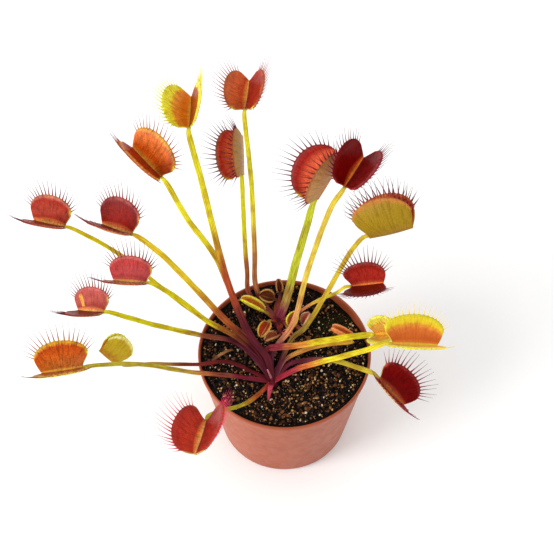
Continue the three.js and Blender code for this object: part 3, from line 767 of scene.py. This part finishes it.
def lobe_point(leaf, axes, hand, u, v):
    """The middle surface of one lobe: u along the midrib, v from it to the rim."""
    m, o, left = axes
    length, width = leaf["length"], leaf["width"]
    turn = (u - 0.5) * math.pi
    past, low = (EAR_BACK, EAR_RISE) if turn < 0 else (TIP_PAST, TIP_RISE)
    past, low = past * leaf["ends"], low * leaf["ends"]
    rim_along = length * (0.5 + (0.5 + past) * math.sin(turn))
    rim_out = width * (low + (1 - low) * max(0.0, math.cos(turn)) ** RIM_ROUND)
    fan = (1 - u) * v * v * (3 - 2 * v) + u * max(v, 0.0) ** 0.8
    along = u * length + (rim_along - u * length) * fan
    out = rim_out * v
    start = math.radians(leaf["open"] / 2 + leaf["bow"] / 2)
    bend = max(math.radians(leaf["bow"]), 1e-4)
    swing = bend * max(v, 1e-4)
    rise = (math.sin(start) - math.sin(start - swing)) / swing
    spread = (math.cos(start - swing) - math.cos(start)) / swing
    curl = math.radians(leaf["curl"]) * (min(1.0, max(0.0, u)) - 0.5)
    sag = length * math.sin(math.radians(leaf["curl"]) / 2) * u * (1 - u)
    m2 = m * math.cos(curl) + o * math.sin(curl)
    o2 = o * math.cos(curl) - m * math.sin(curl)
    point = (Vector(leaf["base"]) + m * (u * length) - o * sag + m2 * (along - u * length)
             + o2 * (out * rise) + left * (hand * out * spread))
    return point, m2, o2, turn, start - bend * v


def lobe_normal(leaf, axes, hand, u, v):
    """Which way the lobe's inside faces."""
    step = 0.02
    here = lobe_point(leaf, axes, hand, u, v)[0]
    ahead = lobe_point(leaf, axes, hand, u + step, v)[0] - here
    outward = lobe_point(leaf, axes, hand, u, v + step)[0] - here
    normal = ahead.cross(outward).normalized()
    return -normal if normal.dot(axes[2] * -hand) < 0 else normal


def dished_point(leaf, axes, hand, u, v):
    """The lobe's surface with its dished floor, turned-back margin and scalloped rim."""
    point, _, o2, _, _ = lobe_point(leaf, axes, hand, u, v)
    inside = lobe_normal(leaf, axes, hand, min(0.97, max(0.01, u)), min(0.97, max(0.02, v)))
    size = leaf["width"]
    arch = math.sin(math.pi * min(1, max(0, u)))
    dish = -leaf["dish"] * size * math.sin(math.pi * min(1.0, v / 0.9)) * arch ** 0.7
    band = max(0.0, (v - MARGIN_START) / (1 - MARGIN_START))
    flare = -leaf["flare"] * size * band ** 1.5
    crease = CREASE * size * math.exp(-((v - MARGIN_START) / 0.04) ** 2) * arch ** 0.5
    scallop = SCALLOP * size * max(0.0, (v - 0.9) / 0.1) * math.cos(2 * math.pi * u * leaf["teeth"] + math.pi)
    return point + inside * (dish + flare + crease) + o2 * scallop


def tooth_blank():
    """One tooth of the fringe, standing along Z from 0 to 1, to be bent into place."""
    bm = round_blank(5, 4, 0.35)
    bmesh.ops.translate(bm, verts=bm.verts, vec=(0, 0, 0.5))
    return mesh_of("tooth_blank", bm)


TOOTH = tooth_blank()


def plant_tooth(bm, marks, root, direction, broad, size, thick, bend):
    """Adds one tooth: root, way it points, its broad side, length, half width and bend, in mm."""
    start = len(bm.verts)
    first_face = len(bm.faces)
    bm.from_mesh(TOOTH)
    bm.verts.ensure_lookup_table()
    bm.faces.ensure_lookup_table()
    side = (broad - direction * broad.dot(direction)).normalized()
    other = direction.cross(side)
    for k in range(start, len(bm.verts)):
        vert = bm.verts[k]
        up = vert.co.z
        slim = TOOTH_POINT + (1 - TOOTH_POINT) * (1 - up) ** 2.4
        point = root + direction * (size * up) + bend * (size * up * up)
        point += side * (vert.co.x * thick * slim) + other * (vert.co.y * thick * TOOTH_FLAT * slim)
        vert.co = point * MM
        vert[marks[0]] = 0.5
        vert[marks[1]] = up
    for k in range(first_face, len(bm.faces)):
        bm.faces[k].material_index = 2


def make_lobes(bm, marks, leaf, axes):
    """Two lobes with thickness, joined along the midrib, with their materials."""
    m, o, _ = axes
    shaded_lobe_faces = []
    for hand in (1, -1):
        before = set(bm.faces)
        made = bmesh.ops.create_grid(bm, x_segments=leaf["columns"], y_segments=leaf["rows"], size=1.0)
        for vert in made["verts"]:
            u = (vert.co.x + 1) / 2
            v = ((vert.co.y + 1) / 2) ** 1.2
            vert[marks[0]] = u
            vert[marks[1]] = v
            vert.co = dished_point(leaf, axes, hand, u, v) * MM
        # The lobe that lies low is kept apart, because its inside gets a finish with painted shade.
        if hand == leaf["lower"]:
            shaded_lobe_faces = [face for face in bm.faces if face not in before]
    midrib = [v for v in bm.verts if v[marks[1]] < 1e-6]
    bmesh.ops.remove_doubles(bm, verts=midrib, dist=1e-4)
    bmesh.ops.recalc_face_normals(bm, faces=bm.faces)
    inner_faces = list(bm.faces)
    inner_verts = set(bm.verts)
    middle = (Vector(leaf["base"]) * MM + m * leaf["length"] * MM / 2).dot(m)
    probe = max(inner_faces, key=lambda f: -abs(f.calc_center_median().dot(m) - middle))
    if probe.normal.dot(o) < 0:
        bmesh.ops.reverse_faces(bm, faces=inner_faces)
    bmesh.ops.solidify(bm, geom=[*bm.faces, *bm.edges, *bm.verts], thickness=LOBE_THICKNESS * MM)
    for faces, index in ((bm.faces, 1), (inner_faces, 0), (shaded_lobe_faces, 3)):
        for face in faces:
            face.material_index = index
    for vert in bm.verts:
        v = vert[marks[1]]
        if vert in inner_verts and v < MIDRIB_SHARE:
            vert.co += o * (MIDRIB_RISE * (1 - v / MIDRIB_SHARE) * MM)
        elif vert not in inner_verts and v < KEEL_SHARE:
            vert.co -= o * ((KEEL - LOBE_THICKNESS) * (1 - v / KEEL_SHARE) ** 2 * MM)
    bmesh.ops.recalc_face_normals(bm, faces=bm.faces)


def make_trap(name, leaf, number, finishes, nodes):
    """A whole trap: its lobes, the teeth on their rims and the trigger hairs inside."""
    rng = random.Random(100 + number)
    axes = trap_axes(leaf)
    m, _, left = axes
    bm = bmesh.new()
    marks = leaf_marks(bm)
    make_lobes(bm, marks, leaf, axes)
    for hand in (1, -1):
        for i in range(leaf["teeth"]):
            u = (i + 0.5 + rng.uniform(-0.12, 0.12)) / leaf["teeth"]
            _, ahead, upward, turn, tip = lobe_point(leaf, axes, hand, u, 1.0)
            rim = dished_point(leaf, axes, hand, u, 1.0)
            lean = tip - math.radians(leaf["lean"])
            out = upward * math.cos(lean) + left * (hand * math.sin(lean))
            along = FAN_OUT * math.sin(turn) + rng.uniform(-0.07, 0.07)
            direction = (ahead * along + out * (math.cos(turn) + 0.35)).normalized()
            inside = lobe_normal(leaf, axes, hand, min(0.97, u), 0.95)
            size = leaf["cilium"] * (END_TOOTH + (1 - END_TOOTH) * math.cos(turn)) * rng.uniform(0.9, 1.06)
            tangent = ahead * math.cos(turn) - upward * math.sin(turn)
            bend = inside * leaf["hook"] + m * rng.uniform(-0.05, 0.05) + inside * rng.uniform(-0.04, 0.04)
            root = rim - direction * TOOTH_ROOT - inside * (LOBE_THICKNESS * 0.5)
            plant_tooth(bm, marks, root, direction, tangent, size + TOOTH_ROOT, leaf["tooth"], bend)
        for u, v in leaf["triggers"]:
            inside = lobe_normal(leaf, axes, hand, u, v)
            root = dished_point(leaf, axes, hand, u, v) - inside * 0.2
            plant_tooth(bm, marks, root, inside, m, TRIGGER_LENGTH, TRIGGER_WIDTH, m * 0.1)
    fill_uv(bm, marks)
    put_in_scene(name, bm, finishes, nodes)


# The plant. Bow closes the rims of the lobes in, curl bends the trap along its midrib, lean and
# hook aim the teeth, and cilium and tooth are their length and half width. Lower names the lobe
# that lies low, 1 for the left one and -1 for the right one; that lobe's inside has painted shade.
OPEN_TRAP = {
    "slot": "trap", "bow": 8, "curl": 12, "lean": 4, "hook": 0.1, "cilium": 10.2, "tooth": 0.5, "teeth": 18,
    "columns": 51, "rows": 18, "ends": 1, "dish": 0.05, "flare": 0.035, "lower": 0,
    "triggers": [(0.35, 0.45), (0.55, 0.6), (0.65, 0.4)],
}
YOUNG_TRAP = {
    **OPEN_TRAP, "slot": "young_trap", "bow": 50, "curl": 20, "lean": 10, "cilium": 1.6, "tooth": 0.26,
    "teeth": 11, "columns": 33, "rows": 12, "triggers": [],
}
SMALL_TRAP = {
    **OPEN_TRAP, "slot": "small_trap", "bow": 40, "curl": 20, "lean": 0, "cilium": 1.3, "tooth": 0.22,
    "teeth": 9, "columns": 27, "rows": 10, "ends": 0.45, "triggers": [],
}
SMALL_STALK = (2, 1.8)


def new_leaf(base, path, wide, aim, opening, size, kind=OPEN_TRAP, crown=MAIN_CROWN, **own):
    """A leaf whose stalk and trap meet at base.

    Path leads there from the crown, wide is the stalk's width at its two ends, aim the trap's
    heading, pitch and roll in degrees, opening the angle between its lobes, and size its length
    and a lobe's width.
    """
    heading, pitch, roll = aim
    length, width = size
    return {
        **kind, "crown": crown, "base": base, "path": path, "wide": wide, "heading": heading,
        "pitch": pitch, "roll": roll, "open": opening, "length": length, "width": width, **own,
    }


BIG_LEAVES = [
    new_leaf((-111.3, 43.3, 120), [(-12.2, -4.6, 69.5), (-24.7, 6.8, 71.5), (-40.3, 13.8, 77),
             (-59, 24, 86), (-86, 36.4, 107)], (2.8, 2.3), (159, -10, 2.5), 71, (18.2, 15.5), lower=1),
    new_leaf((-77.7, 41.4, 116), [(-10.6, -6.2, 73.6), (-19, 2.6, 77.4), (-29, 7.1, 86), (-45, 19.5, 98),
             (-63, 33.4, 110)], (4, 3), (148, -15, 0.5), 70, (19.8, 17.4), bow=13, lower=1),
    new_leaf((-69.9, 17.9, 107), [(-11.4, -6.1, 71.8), (-24.6, 4.4, 76.2), (-40, 10.1, 83),
             (-53.6, 17, 92)], (3.2, 2.8), (164, -16, -2.5), 78, (18.6, 13.7), lower=1),
    new_leaf((-92.7, 12.5, 88), [(-13, -6.4, 67.8), (-24.8, 5.4, 69), (-44.5, 6.6, 75), (-68.2, 9.2, 81)],
             (3, 2.8), (157, -27, 1.5), 88, (17.9, 13), lower=1),
    new_leaf((-99.5, -25.9, 98), [(-27, -15, 70), (-46, -17, 77), (-75, -19.5, 90)], (2.8, 2.4),
             (185, -8, -3), 77, (20.7, 15.5), lower=1),
    new_leaf((-83.7, -14.8, 84), [(-17.8, -10.9, 68.2), (-29.3, -6.4, 69.4), (-44.5, -9.7, 72.6),
             (-67.6, -12.5, 78)], (2.4, 2), (167, 53, -52), 10, (13, 12.5), YOUNG_TRAP, bow=34),
    new_leaf((-38.7, -46.9, 82), [(-17, -30, 71.5), (-24, -36, 75.5), (-31, -40, 79.5)], (2.6, 2.4),
             (260, 22, -14), 98, (24.7, 15.9), lower=1),
    new_leaf((-61.3, 54.9, 146), [(-9.8, -4.9, 70.3), (-17.9, 6.2, 72.8), (-24, 15, 84), (-35, 32.7, 107.5),
             (-49, 43.3, 127)], (3.6, 2.8), (132, 7, 2), 62, (22.5, 17.5), bow=5, lower=1),
    new_leaf((-47.5, 74.9, 160), [(-8.9, -7.3, 75), (-16.7, 0.5, 82), (-27, 15.5, 101), (-32.7, 27.8, 118),
             (-41.3, 54.4, 142)], (3.8, 3), (89, -2, 15), 66, (20.7, 17.4), lower=-1),
    new_leaf((30.1, 54.8, 138), [(-6.5, -3.7, 72), (4.2, 6.5, 86), (11.9, 27, 105), (23.8, 50.4, 128)],
             (3, 2.8), (63, -4, -8), 73, (22.5, 16.6), lower=-1),
    new_leaf((43.2, 43.4, 112), [(4.3, 5.3, 74), (10.5, 7.8, 80), (22.3, 22.1, 93), (34.6, 38.7, 106)],
             (2.8, 2.6), (-5, 29, 40), 25, (24, 20), bow=49),
    new_leaf((53.6, -11.9, 97), [(5.9, -11.8, 71), (14.9, -12.5, 78), (28.4, -13.1, 86), (41.4, -12.5, 92)],
             (3.4, 3.2), (1, -6, 7), 82, (22.7, 15.8), bow=4, cilium=6.5, lower=-1),
    new_leaf((45.8, 0.2, 86), [(-8.5, -11, 69.4), (-10.2, -5.4, 72), (-8.6, -2.2, 75.4), (-4, -3, 78.4),
             (5.9, -4.2, 82), (19.5, -2.6, 84), (33.3, -1.4, 86)], (3.6, 3.8), (-11, 26, -19), 72,
             (11.6, 11.4), YOUNG_TRAP, bow=20),
    new_leaf((47.1, -25.7, 86), [(2.8, -7.2, 68.8), (14.7, -6.3, 71.5), (23.3, -8.4, 75),
             (39.4, -18.6, 83)], (3, 2.6), (-37, -31, 10), 80, (18.4, 14.5)),
    new_leaf((33.2, 4.6, 75), [(0.4, -5, 69.4), (9.3, -0.4, 70.4), (20, 2.4, 71.6)], (2.8, 2.4),
             (156, 16, -6), 30, (9.5, 5), YOUNG_TRAP, teeth=7, cilium=0.9),
    new_leaf((-19.9, 86.7, 160), [(-10, 28.5, 68.4), (-15, 35.5, 76), (-15.6, 44.9, 97),
             (-17.2, 67.6, 128)], (2.8, 2.4), (84, -1, 9), 88, (19.4, 13.9), crown=SECOND_CROWN, lower=-1),
    new_leaf((-21.9, 69.3, 130), [(-11, 26.6, 68), (-18.8, 33.5, 73), (-19.7, 40.5, 83), (-20.7, 49.5, 95)],
             (2.6, 2.4), (92, 22, 42), 39, (20.4, 14.9), crown=SECOND_CROWN),
    new_leaf((16.2, 58.9, 123), [(1, 28, 75), (6, 40, 92), (11, 50, 108)], (5, 3.6), (49, 43, 32), 58,
             (25, 19.6), crown=SECOND_CROWN, ends=0.7, bow=5),
    new_leaf((34.3, 22.9, 96), [(5, 21, 71), (15, 23, 80), (27, 23, 90)], (2.2, 2.2), (-2, 14, -12), 85,
             (16.4, 12.8), crown=SECOND_CROWN, lower=-1),
]
SMALL_LEAVES = [
    new_leaf(base, [middle], SMALL_STALK, aim, opening, size, SMALL_TRAP, SECOND_CROWN, **own)
    for base, middle, aim, opening, size, own in (
        ((-11.5, 23.7, 71.6), (-7.5, 22, 69), (156, 14, 0), 34, (12.5, 5.5), {"cilium": 2.6, "teeth": 11}),
        ((-8.8, 16, 70.3), (-6, 19, 68.8), (247, 8, 0), 70, (9, 4.5), {}),
        ((-6.5, 30.5, 72.5), (-4.8, 26.5, 69.5), (175, 22, 20), 64, (7, 5.6), {}),
        ((-2.6, 34, 75.4), (-3, 27.4, 70.2), (100, 55, 0), 40, (6, 3.8), {}),
        ((3.8, 14.7, 71.5), (0.4, 17.5, 68.7), (60, 45, 0), 60, (7.5, 5), {}),
        ((10.3, 15.4, 71.4), (3.4, 18.6, 68.7), (50, 45, 20), 60, (6.5, 4), {}),
        ((-0.5, 11.4, 69.4), (-1.4, 16, 68.6), (-30, 8, 0), 44, (5.5, 3), {}),
        ((-4.4, 9.2, 69.4), (-3.2, 15.5, 68.4), (215, 18, 0), 54, (7, 4.4), {}),
    )
]

# Finishes of the traps, in red, green and blue codes. The inside goes from the midrib over glow,
# low, body and deep out to the margin, the back from back_low to back_rim and a tooth from its root
# to its point. The glow is partly painted light shining through the lobe, and the body is partly a
# painted sheen. Shaded_inside and shaded_rim are painted shade for the lobe that lies low, and fold is a
# bright crease.
FOLD = 0xfcbe46
RED_TRAP = dict(midrib=0xffcc6a, glow=0xf4823e, low=0xc4401c, body=0xbe4232, deep=0xb43e38, margin=0xbe5a50,
                ear=0xe4c43c, back_low=0xc4aa56, back=0xba9854, back_rim=0xc46e3c, root=0xbe4632,
                tooth=0x70263c, point=0x5c2c50, margin_width=0.05, heel=0.4, grain=0.65, shine=0.14)
YELLOW_TRAP = dict(RED_TRAP, midrib=0xf0be3c, glow=0xf09622, low=0xf6881a, body=0xf8962c, deep=0xf8a02c,
                   margin=0xf0ee3c, ear=0xece832, back_low=0xcec83c, back=0xd8ce3c, back_rim=0xf0ec3c,
                   root=0xf0e03c, tooth=0xf0be5a, point=0xeca064, margin_width=0.28, heel=0.1, grain=0.5)
TRAP_LOOKS = [
    dict(RED_TRAP, glow=0xfa964c, low=0xba3814, body=0xbe5038, deep=0xba4232, margin=0xd08262, ear=0xf4e23c,
         shaded_inside=0xa64626, shaded_rim=0xc4785a),
    dict(RED_TRAP, glow=0xfa8c50, low=0xba1e06, body=0xac342a, deep=0x983636, margin=0xb8605c, ear=0xf0aa6e,
         tooth=0x84323c, point=0x602c46, shaded_inside=0x8e302a, shaded_rim=0xa45a56),
    dict(RED_TRAP, glow=0xd45c42, low=0xbe3634, body=0xc84c4a, deep=0xc44e4a, margin=0xc86a64, ear=0xe8c842,
         back_low=0xe8b060, back=0xe8c48c, shaded_inside=0xc88a5c, shaded_rim=0xcc9a78),
    dict(RED_TRAP, glow=0xf49254, low=0xb43c28, body=0xc65e4e, deep=0xc6625a, margin=0xd07470, ear=0xf0ce3c,
         shaded_inside=0x8e3628, shaded_rim=0x9c5a46, fold_place=0.76),
    dict(YELLOW_TRAP, glow=0xce7a1e, low=0xce7a20, body=0xd6701c, deep=0xce5e1c, margin=0xdeaa28,
         back=0xd6ba46, back_rim=0xecd63c, root=0xe0aa3c, tooth=0x964a42, point=0x703642,
         shaded_inside=0xc47638, shaded_rim=0xe2b450, margin_width=0.08, heel=0.3, grain=0.7),
    dict(YELLOW_TRAP, back_low=0xbe8c1c, back=0xceb22c, back_rim=0xfaf8a0, tooth=0xf0e86e, point=0xf0e282),
    dict(RED_TRAP, glow=0xf89c4a, low=0xd0401c, body=0xd44628, deep=0xc83c2c, margin=0xbe382a, ear=0xce6e3c,
         tooth=0xd83c64, point=0xc83868, shaded_inside=0xb02c22, shaded_rim=0xc44640),
    dict(RED_TRAP, midrib=0xf8c846, glow=0xfaa038, low=0xf67a18, body=0xf88c3e, deep=0xf48e50,
         margin=0xecb04c, ear=0xf6d632, root=0xf0963c, tooth=0x963c42, point=0x6c3248, shaded_inside=0xb83c16,
         shaded_rim=0xeeaa50, margin_width=0.07, heel=0.8),
    dict(YELLOW_TRAP, low=0xe88e1e, body=0xeca63e, deep=0xf0bc32, tooth=0xf0e264, point=0xf0e682,
         shaded_inside=0xba641e, shaded_rim=0xf0e850, margin_width=0.3),
    dict(RED_TRAP, midrib=0xfaa03c, glow=0xd2582c, low=0x8a0201, body=0x8a0403, deep=0x880604,
         margin=0x860e10, ear=0xb43c3c, back_low=0xce783c, back=0xa04042, back_rim=0x962c40, root=0x821a24,
         tooth=0x6a1a32, point=0x5c2644, shaded_inside=0x861618, shaded_rim=0xa6484c, shine=0.06),
    dict(RED_TRAP, low=0xc86432, body=0xc85a32, deep=0xbe5032, margin=0xce783c, back_low=0xa48024,
         back=0xa2861e, back_rim=0xbe863e, root=0xbe5038, tooth=0x701c2a, point=0x54203a),
    dict(YELLOW_TRAP, midrib=0xf0d246, glow=0xe28638, low=0xcc702a, body=0xd47a34, deep=0xdc9e38,
         margin=0xe0d030, tooth=0xf6d664, point=0xeece82, shaded_inside=0xecbe54, shaded_rim=0xf2e86e,
         margin_width=0.24, grain=0.25),
    dict(YELLOW_TRAP, low=0xe2b050, body=0xe2ba58, margin=0xeee660, back=0xe2da50, tooth=0xecd864,
         margin_width=0.4),
    dict(RED_TRAP, midrib=0xce8242, glow=0xc4583c, low=0x920503, body=0x8a0504, deep=0x84110f,
         margin=0x963230, ear=0xde7854, back_low=0xc48c54, back=0xbe9454, back_rim=0xcea068, root=0x961a2e,
         tooth=0x821832, point=0x541c3a, shine=0.06),
    dict(RED_TRAP, midrib=0xe69654, glow=0xe48e52, low=0xe48e52, body=0xe48e50, deep=0xe48e50,
         margin=0xe69254, ear=0xe69664, back_low=0xe2884c, back=0xe68e50, back_rim=0xec9c60, root=0xe28c60,
         tooth=0xda8460, point=0xd27c60, grain=0.4),
    dict(RED_TRAP, midrib=0xf6ba50, glow=0xf29240, low=0xd65a1a, body=0xe27636, deep=0xde763c,
         margin=0xd06e36, ear=0xf0e238, root=0xd67842, tooth=0x9c3442, point=0x88344e, shaded_inside=0xb83820,
         shaded_rim=0xc86e4c),
    dict(RED_TRAP, glow=0xec9664, low=0xec9660, body=0xf08c54, deep=0xd64a2c, margin=0xaa6e50, ear=0xe6c43c,
         back_low=0xcea87e, back=0xb28c54, back_rim=0xb06028, root=0x922636, tooth=0x6a2440,
         point=0x603052),
    dict(RED_TRAP, glow=0xe66e46, low=0xe26842, body=0xf48056, deep=0xb83228, margin=0x96322e, ear=0xeec83c,
         back_low=0xc89858, back=0xc69c64, back_rim=0xb87446, root=0xa62630, tooth=0x601c30, point=0x4a203c,
         margin_width=0.06),
    dict(RED_TRAP, midrib=0xf88c3c, glow=0xbe5028, low=0xb22410, body=0xb83424, deep=0xa62a1e,
         margin=0x96423e, ear=0xb43c2e, back_low=0x962c2c, back=0x8c3640, back_rim=0x6e2640, root=0x9c222c,
         tooth=0x701c30, point=0x562240, shaded_inside=0x7c1a0c, shaded_rim=0x742e2e),
]
SMALL_RED = dict(RED_TRAP, midrib=0xe2a06e, margin=0xe6b48c, ear=0xe2a078, margin_width=0.1, grain=0.6)
SMALL_LOOKS = [
    dict(YELLOW_TRAP, body=0xdcaa3c, margin=0xe8dc5a, back_low=0xbeb03c, back=0xcebe40, tooth=0xdca078,
         point=0xd68c82, margin_width=0.12),
    dict(SMALL_RED, glow=0xce5428, low=0xce4e24, body=0xd05428, deep=0xce5028, margin=0xecc85a,
         back=0xce7440, back_rim=0xe6be5a, tooth=0xdea050),
    dict(SMALL_RED, midrib=0xa06838, glow=0x824624, low=0x763e20, body=0x763e20, deep=0x68361c,
         margin=0xc89c5a, ear=0xa06838, back_low=0x784228, back=0x8c522c, back_rim=0xc89c5a, tooth=0x825436,
         point=0x784a36),
    dict(SMALL_RED, midrib=0x96643c, glow=0x7e442a, low=0x743c26, body=0x743c28, deep=0x642c28,
         margin=0xaa784c, ear=0x96643c, back_low=0x6e3232, back=0x824a36, back_rim=0xb07c50, tooth=0x784c3c,
         point=0x6e423c),
    dict(YELLOW_TRAP, glow=0xc87c38, low=0xc87436, body=0xc46e36, deep=0xbe7436, margin=0xd4cc50,
         back=0xc49c46, tooth=0xcea05a, margin_width=0.16),
    dict(SMALL_RED, glow=0xd88268, low=0xd87e64, body=0xdc826a, deep=0xde9278, back_low=0xd27464,
         back=0xdc8c72, back_rim=0xecbe96, tooth=0xdc8c78, point=0xd2826e),
    dict(SMALL_RED, glow=0xb03c36, low=0xa02e32, body=0xa02e34, deep=0x8c242e, back_low=0x822836,
         back=0xa64246, back_rim=0xce6e64, tooth=0xb45454),
    dict(SMALL_RED, glow=0xcc7e50, low=0xc4764a, body=0xc2744a, deep=0xbe744a, back_low=0xaa5e4a,
         back=0xc88254, back_rim=0xd8a06a, tooth=0xc88c60, point=0xbe7e60),
]

# Finishes of the stalks: colour at the crown, in the middle and at the trap, and where they turn
MAROON = 0x601828
PLUM = 0x702c42
STALK_LOOKS = [
    (MAROON, 0xb4862c, 0xf4ee22, 0.3, 0.56),
    (MAROON, 0xbe6832, 0xfae234, 0.3, 0.7),
    (MAROON, 0xaa6c2c, 0xf0ec1e, 0.32, 0.6),
    (PLUM, 0xa66042, 0xe4e418, 0.36, 0.62),
    (0x802438, 0xc87c4c, 0xcec438, 0.26, 0.52),
    (0x68161e, 0x882c2a, 0xceb446, 0.4, 0.9),
    (0xaa422e, 0xbe6e2c, 0xc4ba32, 0.2, 0.56),
    (MAROON, 0xbe602e, 0xfcf832, 0.29, 0.72),
    (MAROON, 0xba542e, 0xf0ec2e, 0.32, 0.74),
    (PLUM, 0xce8c58, 0xdecc46, 0.2, 0.56),
    (PLUM, 0x9e8632, 0xdcc832, 0.2, 0.56),
    (0xb03448, 0xde843e, 0xece232, 0.24, 0.5),
    (0x8e2e3c, 0xe89e42, 0xf0e82c, 0.4, 0.6),
    (PLUM, 0x92544c, 0xcebe3c, 0.36, 0.58),
    (0xa06054, 0xdea654, 0xeec44a, 0.3, 0.7),
    (0xa05448, 0xce9454, 0xf2f02e, 0.2, 0.66),
    (0x9c4c4c, 0xc4803e, 0xecec1e, 0.3, 0.66),
    (0x923248, 0xb09c42, 0xbec82c, 0.14, 0.36),
    (0xa64c54, 0xc87c54, 0xe6d832, 0.26, 0.62),
]
# The second sprout's pale pink-grey is partly its own colour and partly a painted highlight.
SPROUTS = [
    ([(-6.4, -17, 66.4), (-7.4, -22, 69.4), (-8.3, -28, 68.3)], 3.0, 0xce5468),
    ([(-6.3, -16, 67), (-7.4, -15.5, 71.5), (-8.7, -14.4, 75.5)], 1.5, 0xd88c96),
]
WITHERED = [(-37.5, -5, 68.2), (-33.5, -2, 69), (-29.5, 0.4, 69), (-26.8, 1.6, 68.4)]


def shaded_lobe_look(look):
    """Painted shade for the inside of the lobe that lies low: even in colour, with no bright stripe."""
    low = look["shaded_inside"]
    plain = {key: value for key, value in look.items() if key != "fold_place"}
    plain.update(midrib=low, glow=low, low=low, body=low, deep=low, margin=look["shaded_rim"], heel=0.2)
    return plain


def make_leaf(kind, number, leaf, look, stalk_look, seed, stalk_nodes):
    """A leaf's stalk and its trap, each with its own finishes."""
    stalk = stalk_finish(f"{kind}stalk_{number}", *stalk_look)
    make_petiole(f"{kind}stalk_{number}", leaf, number, stalk, stalk_nodes)
    finishes = [lobe_inside(f"{kind}inside_{number}", look), lobe_outside(f"{kind}outside_{number}", look),
                cilia_finish(f"{kind}teeth_{number}", look)]
    # The lobe that lies low gets a copy of the inside finish with painted shade.
    if leaf["lower"]:
        finishes.append(lobe_inside(f"shaded_inside_{number}", shaded_lobe_look(look)))
    make_trap(f"{kind}lobes_{number}", leaf, seed, finishes, [f"{kind}trap_{number}"])


# Putting it together

make_pot()
make_soil()
scatter("soil_crumbs", CRUMBS, 3, (0.35, 1.1, 2.4), 0.2, 0.1, crumb_finish("crumb", 0.9, [
    (0.0, 0x050302), (0.45, 0x160c08), (0.72, 0x382014), (0.9, 0x6e4428), (1.0, 0xa06c3e)]))
scatter("soil_grains", GRAINS, 8, (0.2, 0.75, 2.6), 0.55, 0.0, crumb_finish("grit", 0.5, [
    (0.0, 0x462416), (0.35, 0x7c4a28), (0.62, 0xb67c40), (0.86, 0xdcb476), (1.0, 0xfaecce)]))

crown_finish = stalk_finish("crown", 0x5c1628, 0x782836, 0x963c3c, 0.5, 0.9)
make_bulb("main_bulb", MAIN_CROWN, crown_finish, ["main_crown"])
make_bulb("second_bulb", SECOND_CROWN, crown_finish, ["second_crown"])
for i, (path, wide, colour) in enumerate(SPROUTS):
    make_strip(f"sprout_{i + 1}", path, wide, 0.3,
               stalk_finish(f"sprout_{i + 1}", 0x962840, colour, colour, 0.3, 0.9), [], i)
make_strip("withered_strip", WITHERED, 1.8, 0.7,
           stalk_finish("withered", 0x785434, 0xaa8054, 0x966842, 0.3, 0.9),
           ["withered_petiole"], 4)

for number, (leaf, look, stalk_look) in enumerate(zip(BIG_LEAVES, TRAP_LOOKS, STALK_LOOKS), 1):
    make_leaf("", number, leaf, look, stalk_look, number, [f"petiole_{number}"])
for number, (leaf, look) in enumerate(zip(SMALL_LEAVES, SMALL_LOOKS), 1):
    stalk_look = (0x82323c, 0xaa503c, look["back_low"], 0.3, 0.9)
    make_leaf("small_", number, leaf, look, stalk_look, 50 + number, [])


# Studio

def studio():
    """A white ground, soft light from the left and all round, and the camera."""
    grid = bmesh.new()
    bmesh.ops.create_grid(grid, x_segments=1, y_segments=1, size=GROUND_SIZE)
    mesh = mesh_of("ground", grid)
    white, _, shader = start_material("ground_white", 0.9)
    shader.inputs["Base Color"].default_value = grey(GROUND_WHITE)
    mesh.materials.append(white)
    floor = show("ground", mesh)
    world = bpy.data.worlds.new("studio")
    world.use_nodes = True
    sky = world.node_tree.nodes["Background"]
    sky.inputs["Color"].default_value = grey(1.0)
    sky.inputs["Strength"].default_value = SKY_STRENGTH
    bpy.context.scene.world = world
    for name, place, size, power in LIGHTS:
        light = bpy.data.lights.new(name, "AREA")
        light.shape = "DISK"
        light.size = size
        light.energy = power
        lamp = show(name, light)
        lamp.location = place
        aim = Vector((0, 0, AIM_HEIGHT)) - Vector(place)
        lamp.rotation_euler = aim.to_track_quat("-Z", "Y").to_euler()
    camera = bpy.data.cameras.new("camera")
    camera.sensor_width = SENSOR
    camera.lens = SENSOR * PHOTO_FOCUS / PHOTO_WIDTH
    camera.clip_start = NEAREST
    eye = show("camera", camera)
    eye.location = CAMERA_PLACE
    eye.rotation_euler = (math.radians(90 - CAMERA_DOWN), 0, 0)
    bpy.context.scene.camera = eye
    bpy.context.scene.view_settings.view_transform = "Standard"


studio()
